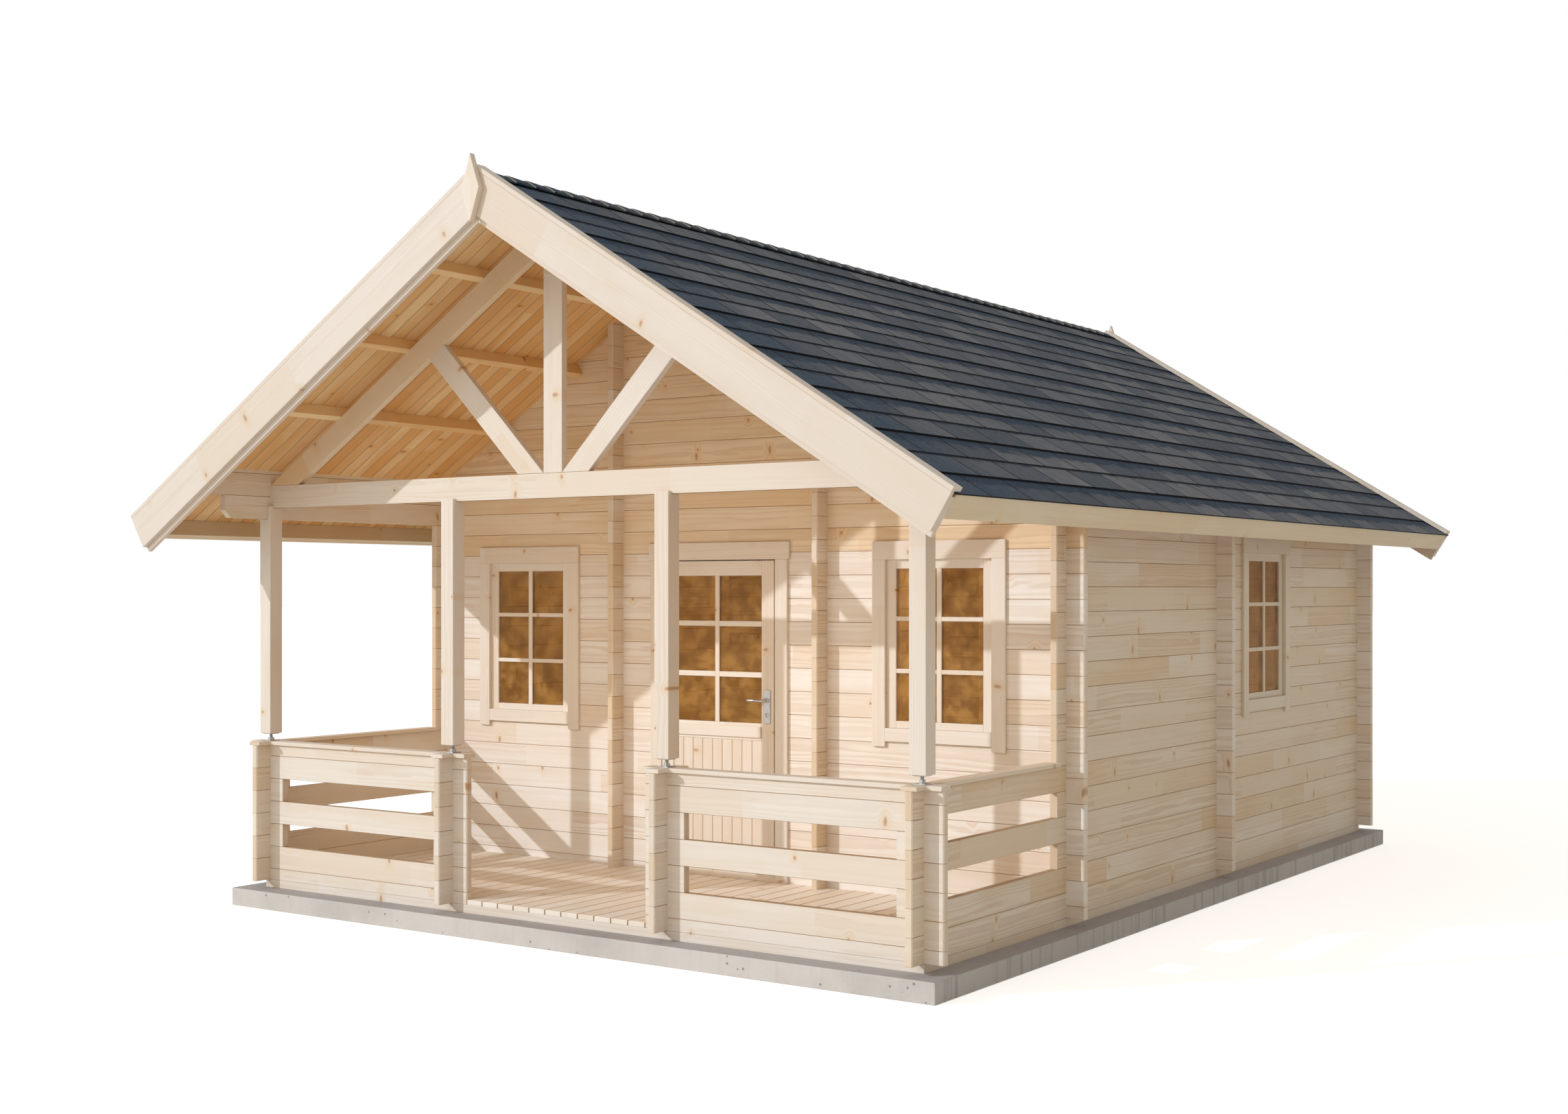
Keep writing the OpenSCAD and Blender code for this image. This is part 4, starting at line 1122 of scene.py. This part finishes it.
hardware = bmesh.new()
knob_x, knob_z = 0.3845, wall_foot + 1.128
for out, surface in ((-1, face), (1, back)):
    y0, y1 = sorted((surface, surface + out * 0.008))
    rounded_plate(hardware, (knob_x - 0.0225, y0, knob_z - 0.139),
                  (knob_x + 0.0225, y1, knob_z + 0.066), 0.008, 0.0018)
    lever = ((0, 0.004), (0, 0.020), (0, 0.034), (0.004, 0.0395), (0.012, 0.0420),
             (0.040, 0.0420), (0.080, 0.0420), (0.120, 0.0420), (0.1255, 0.0420))
    rose, cover = (((0, 0.006), (0, 0.008), (0, 0.013), (0, 0.014)),
                   ((0, 0.006), (0, 0.0095), (0, 0.0105)))
    for points, drop, radius, sides in ((lever, 0, 0.0088, 20), (rose, 0, 0.0150, 24),
                                        (cover, 0.089, 0.0120, 24)):
        tube(hardware, [(knob_x - x, surface + out * y, knob_z - drop) for x, y in points], radius,
             sides)
bmesh.ops.recalc_face_normals(hardware, faces=hardware.faces)
for f in hardware.faces:
    f.smooth = len(f.verts) == 4 and f.calc_area() < 2e-4
make_piece("lever_handles", hardware, satin, "front_door", ["door_handles"])

# %% [markdown]
# The key slot is not cut. A thin dark sheet just proud of the round stands for the shade
# inside the slot, which is painted shade; as its own small piece it stays crisp at any distance.

# %% Make the key slots
# A dark sheet that stands for the shade in the key slot: painted shade.
dark, net = new_material("slot_painted_shade")
speckle = net.noise(net.place, 900.0, 2.0)
net.set(net.shader,
        {"Base Color": net.blend(speckle, tone(0.010, 0.009, 0.008), tone(0.03, 0.027, 0.024)),
         "Roughness": 0.7})
slots = bmesh.new()
for out, surface in ((-1, face), (1, back)):
    y0, y1 = sorted((surface + out * 0.0100, surface + out * 0.0110))
    rounded_plate(slots, (knob_x - 0.0016, y0, knob_z - 0.096),
                  (knob_x + 0.0016, y1, knob_z - 0.082), 0.0014, 0.0002)
make_piece("key_slots", slots, dark, "front_door")

# %% [markdown]
# ## Hinges and post screws
# The hinge barrels have the right shape in the frame and only need their steel. A post
# stands on a screw, so that it can be let down as the logs settle. Its thread is a ridge
# that follows a spiral, which is just what Geometry Nodes do: a spiral curve is given a
# round profile, and copied to the four posts.

# %% Finish the hinges and make the threads
dress(["hinge_pins", "hinge_knuckles"], galvanised)
softened("post_screws", 0.0008, galvanised, "post_screws_softened")

thread_tree, net = new_tree("screw_threads", {"Post": "object", "Radius": "size",
                            "Height": "size", "Turns": "size", "Ridge": "size"})
spiral = net.add("GeometryNodeCurveSpiral", {"Resolution": 24, "Rotations": net.given["Turns"],
                 "Start Radius": net.given["Radius"], "End Radius": net.given["Radius"],
                 "Height": net.given["Height"]})
round_wire = net.add("GeometryNodeCurvePrimitiveCircle",
                     {"Resolution": 5, "Radius": net.given["Ridge"]})
thread = net.add("GeometryNodeCurveToMesh", {"Curve": spiral.outputs[0],
                 "Profile Curve": round_wire.outputs[0], "Fill Caps": True})
spots = net.add("GeometryNodeObjectInfo", {"Object": net.given["Post"]})
placed = copies(net, spots.outputs["Geometry"], thread.outputs[0])
close_tree(net, placed)
screw_lo, screw_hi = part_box("post_screws")
feet = bpy.data.meshes.new("post_feet")
feet.from_pydata([(s * x, rail_y, screw_lo.z + 0.021) for s in (-1, 1) for x in (wall_x, hall_x)],
                 [], [])
post_feet = bpy.data.objects.new("post_feet", feet)
values = {"Post": post_feet, "Radius": 0.0088, "Height": screw_hi.z - screw_lo.z - 0.027,
          "Turns": 8.0, "Ridge": 0.0011, "Seed": 61, "Finish": galvanised}
settle(grow("screw_threads", thread_tree, values))

# %% [markdown]
# ## Glass
# Sealed panes look brown from outside, because the dim wooden rooms show through them.
# True refraction would shut the light out of the rooms, since lamps don't pass through it
# here. A tinted gloss surface that is partly clear lets light in and keeps its shine. Its
# brown, cloudy tint is painted reflection: it stands for a garden mirrored in the panes
# and deepens the brown of the rooms behind. A faint unevenness bends the real reflections
# a little, as in real float glass.

# %% Glass finish
def glass_finish(name):
    material, net = new_material(name)
    wave = net.bump(net.noise(net.place, 2.4, 1.0), 0.10, 0.004)
    # The brown, cloudy tint is painted reflection of a garden, over the brown of the rooms behind.
    garden_reflection = net.step(net.noise(net.place, 9.0, 5.0, 0.68), 0.40, 0.62)
    colour = net.blend(garden_reflection, tone(0.25, 0.105, 0.018), tone(0.56, 0.295, 0.075))
    net.set(net.shader, {"Base Color": colour, "Alpha": 0.34, "Specular IOR Level": 0.04,
                         "Roughness": 0.04, "Normal": wave})
    return material


dress(["window_glass", "door_glass"], glass_finish("window_glass"))

# %% [markdown]
# ## The concrete slab
# The house stands on a cast slab. Its edge shows the grey-beige of cement, small air holes
# and darker damp patches. The long sides bear fine upright marks from the shuttering.
# They are also cooler and darker, and the top is darker, which is painted shade, and the
# dark inside the air holes is painted shade too. The marks are noise stretched in height,
# the holes are sparse cells, and the way a face looks tells the sides apart.

# %% Make the slab
def concrete_finish(name):
    material, net = new_material(name)
    x, y, z = net.split(net.place)
    cloud = net.noise(net.place, 2.2, 5.0, 0.62)
    fine = net.noise(net.place, 46.0, 4.0, 0.65)
    marks = net.noise(net.vector((x, 22.0), (y, 22.0), (z, 1.5)), 1.0, 2.0)
    holes = net.add("ShaderNodeTexVoronoi", {"Vector": net.place, "Scale": 30.0})
    luck = net.split(holes.outputs["Color"])[0]
    hole = net.times(net.calc("LESS_THAN", luck, 0.10),
                     net.step(holes.outputs["Distance"], 0.26, 0.16))
    facing = net.split(net.normal)
    long_side = net.step(net.absolute(facing[0]), 0.60, 0.90)
    colour = net.blend(net.step(cloud, 0.32, 0.70), tone(0.61, 0.555, 0.52),
                       tone(0.47, 0.43, 0.405))
    shutter = net.times_plus(long_side, 0.47, 0.08)
    # Painted shade: the cooler tone on the long sides, the dark in the holes and the darker top.
    for mask, share, paint in ((long_side, 0.55, (0.40, 0.41, 0.43)),
                               (fine, 0.45, (0.66, 0.63, 0.58)),
                               (net.step(marks, 0.50, 0.72), shutter, (0.26, 0.265, 0.275)),
                               (hole, 0.8, (0.20, 0.185, 0.165)),
                               (net.step(facing[2], 0.80, 0.95), 0.50, (0.235, 0.215, 0.22))):
        colour = net.coat(colour, mask, share, *paint)
    relief = net.minus(fine, hole)
    net.set(net.shader, {"Base Color": colour, "Normal": net.bump(relief, 0.5, 0.0025),
                         "Roughness": net.times_plus(fine, 0.2, 0.72)})
    return material


softened("foundation_slab", 0.007, concrete_finish("cast_concrete"), "slab_cast")

# %% [markdown]
# ## The room floor
# Indoors the boards run from front to back and show only through the panes. Their joints
# are drawn by the finish, from the distance to the nearest joint, instead of as geometry.

# %% Finish the room floor
material, net = new_material("room_floor_boards")
x, y, z = net.split(net.place)
width = 0.121
across = net.over(x, width)
number = net.floor(across)
within = net.times(net.minus(net.calc("FRACT", across), 0.5), width)
gap = net.step(net.absolute(within), width / 2 - 0.0022, width / 2 - 0.0006)
wood(net, y, within, z, number, seam=gap, **spruce)
dress(["room_floor"], material)

# %% [markdown]
# ## Floor, light and camera
# A pale floor carries the house and takes its shadow. One low, soft key from the left of
# the porch gives the form, and an even sky fills the shade. A large lamp in front and a
# small one at the side soften the key's shadows, a warm one stands for the light that the
# porch floor throws back, and four under the room's ceiling let the panes show the room.
# The white surround is shown to the camera and to reflections only, so it puts no extra
# light on the wood.

# %% Stage and lights
floor_mesh = bpy.data.meshes.new("studio_floor")
reach = 160.0
floor_mesh.from_pydata([(-reach, -reach, 0), (reach, -reach, 0), (reach, reach, 0),
                        (-reach, reach, 0)], [], [(0, 1, 2, 3)])
studio_floor = bpy.data.objects.new("studio_floor", floor_mesh)
link(studio_floor)
material, net = new_material("pale_floor")
net.set(net.shader,
        {"Base Color": tone(0.93, 0.88, 0.81), "Roughness": 0.9, "Specular IOR Level": 0.0})
glow = net.add("ShaderNodeEmission",
               {"Color": tone(1, 1, 1), "Strength": net.times(net.direct(), 0.60)})
total = net.add("ShaderNodeAddShader", {0: net.shader.outputs[0], 1: glow.outputs[0]})
net.tree.links.new(total.outputs[0], net.tree.nodes["Material Output"].inputs["Surface"])
floor_mesh.materials.append(material)

world = bpy.data.worlds.new("studio_sky")
bpy.context.scene.world = world
world.use_nodes = True
net = Net(world.node_tree)
sky = world.node_tree.nodes["Background"]
direct = net.direct()
toward = net.add("ShaderNodeTexCoord").outputs["Generated"]
overhead = net.step(net.split(toward)[2], 0.20, 0.85)
fill = net.blend(overhead, tone(1.0, 0.88, 0.63), tone(0.84, 0.90, 0.98))
fill = net.blend(direct, fill, tone(1, 1, 1))
net.set(sky, {"Color": fill, "Strength": net.times_plus(direct, 0.48, 0.52)})

key = bpy.data.lights.new("soft_key", "SUN")
key.energy = 1.84
key.color = (0.86, 0.935, 1.0)
key.angle = math.radians(0.8)
key_object = bpy.data.objects.new("soft_key", key)
key_object.rotation_euler = Vector((0.805, 1.0, -0.5535)).to_track_quat("-Z", "Y").to_euler()
link(key_object)


def soft_lamp(name, size, power, colour, place, towards):
    """A lamp that lights the object but isn't itself seen."""
    lamp = bpy.data.lights.new(name, "AREA")
    lamp.shape, lamp.size, lamp.size_y = "RECTANGLE", size[0], size[1]
    lamp.energy, lamp.color = power, colour
    holder = bpy.data.objects.new(name, lamp)
    holder.location = place
    holder.rotation_euler = Vector(towards).to_track_quat("-Z", "Y").to_euler()
    holder.visible_camera = holder.visible_glossy = holder.visible_transmission = False
    link(holder)


soft_lamp("soft_front", (14, 8), 370.0, (0.95, 0.97, 1.0), (-1.5, -15.5, 8.0), (1.5, 13.5, -6.5))
soft_lamp("soft_side", (9, 5), 15.0, (1.0, 0.95, 0.88), (13.0, -5.0, 3.0), (-13.0, 1.5, -1.6))
soft_lamp("porch_fill", (4.2, 0.9), 8.5, (1.0, 0.76, 0.48), (0, rail_y + 0.1, 1.6), (0, 1, -0.1))
for place, power in (((-1.55, -0.7, 2.35), 4.5), ((0.0, -0.7, 2.35), 3.6),
                     ((1.55, -0.7, 2.35), 9.0), ((0.0, 1.9, 2.35), 22.0)):
    soft_lamp("room_lamp", (0.5, 0.5), power, (1.0, 0.66, 0.33), place, (0, 0, -1))
print("stage and lights set")

# %% [markdown]
# The camera stands near eye height and looks level, so that upright timbers stay upright in
# the picture. Tilting it up would lean them together. A lens shift raises the view instead.

# %% Camera
lens = bpy.data.cameras.new("view")
lens.lens, lens.sensor_width, lens.shift_y = 43.41, 36.0, 0.0206
lens.clip_end = 500.0
view = bpy.data.objects.new("view", lens)
view.location = (6.985, -11.193, 1.963)
view.rotation_euler = (math.pi / 2, 0, 0.6036)
link(view)
bpy.context.scene.camera = view
bpy.context.scene.view_settings.view_transform = "Standard"
print("camera: %.1f mm lens, %.2f m above the ground" % (lens.lens, view.location.z))
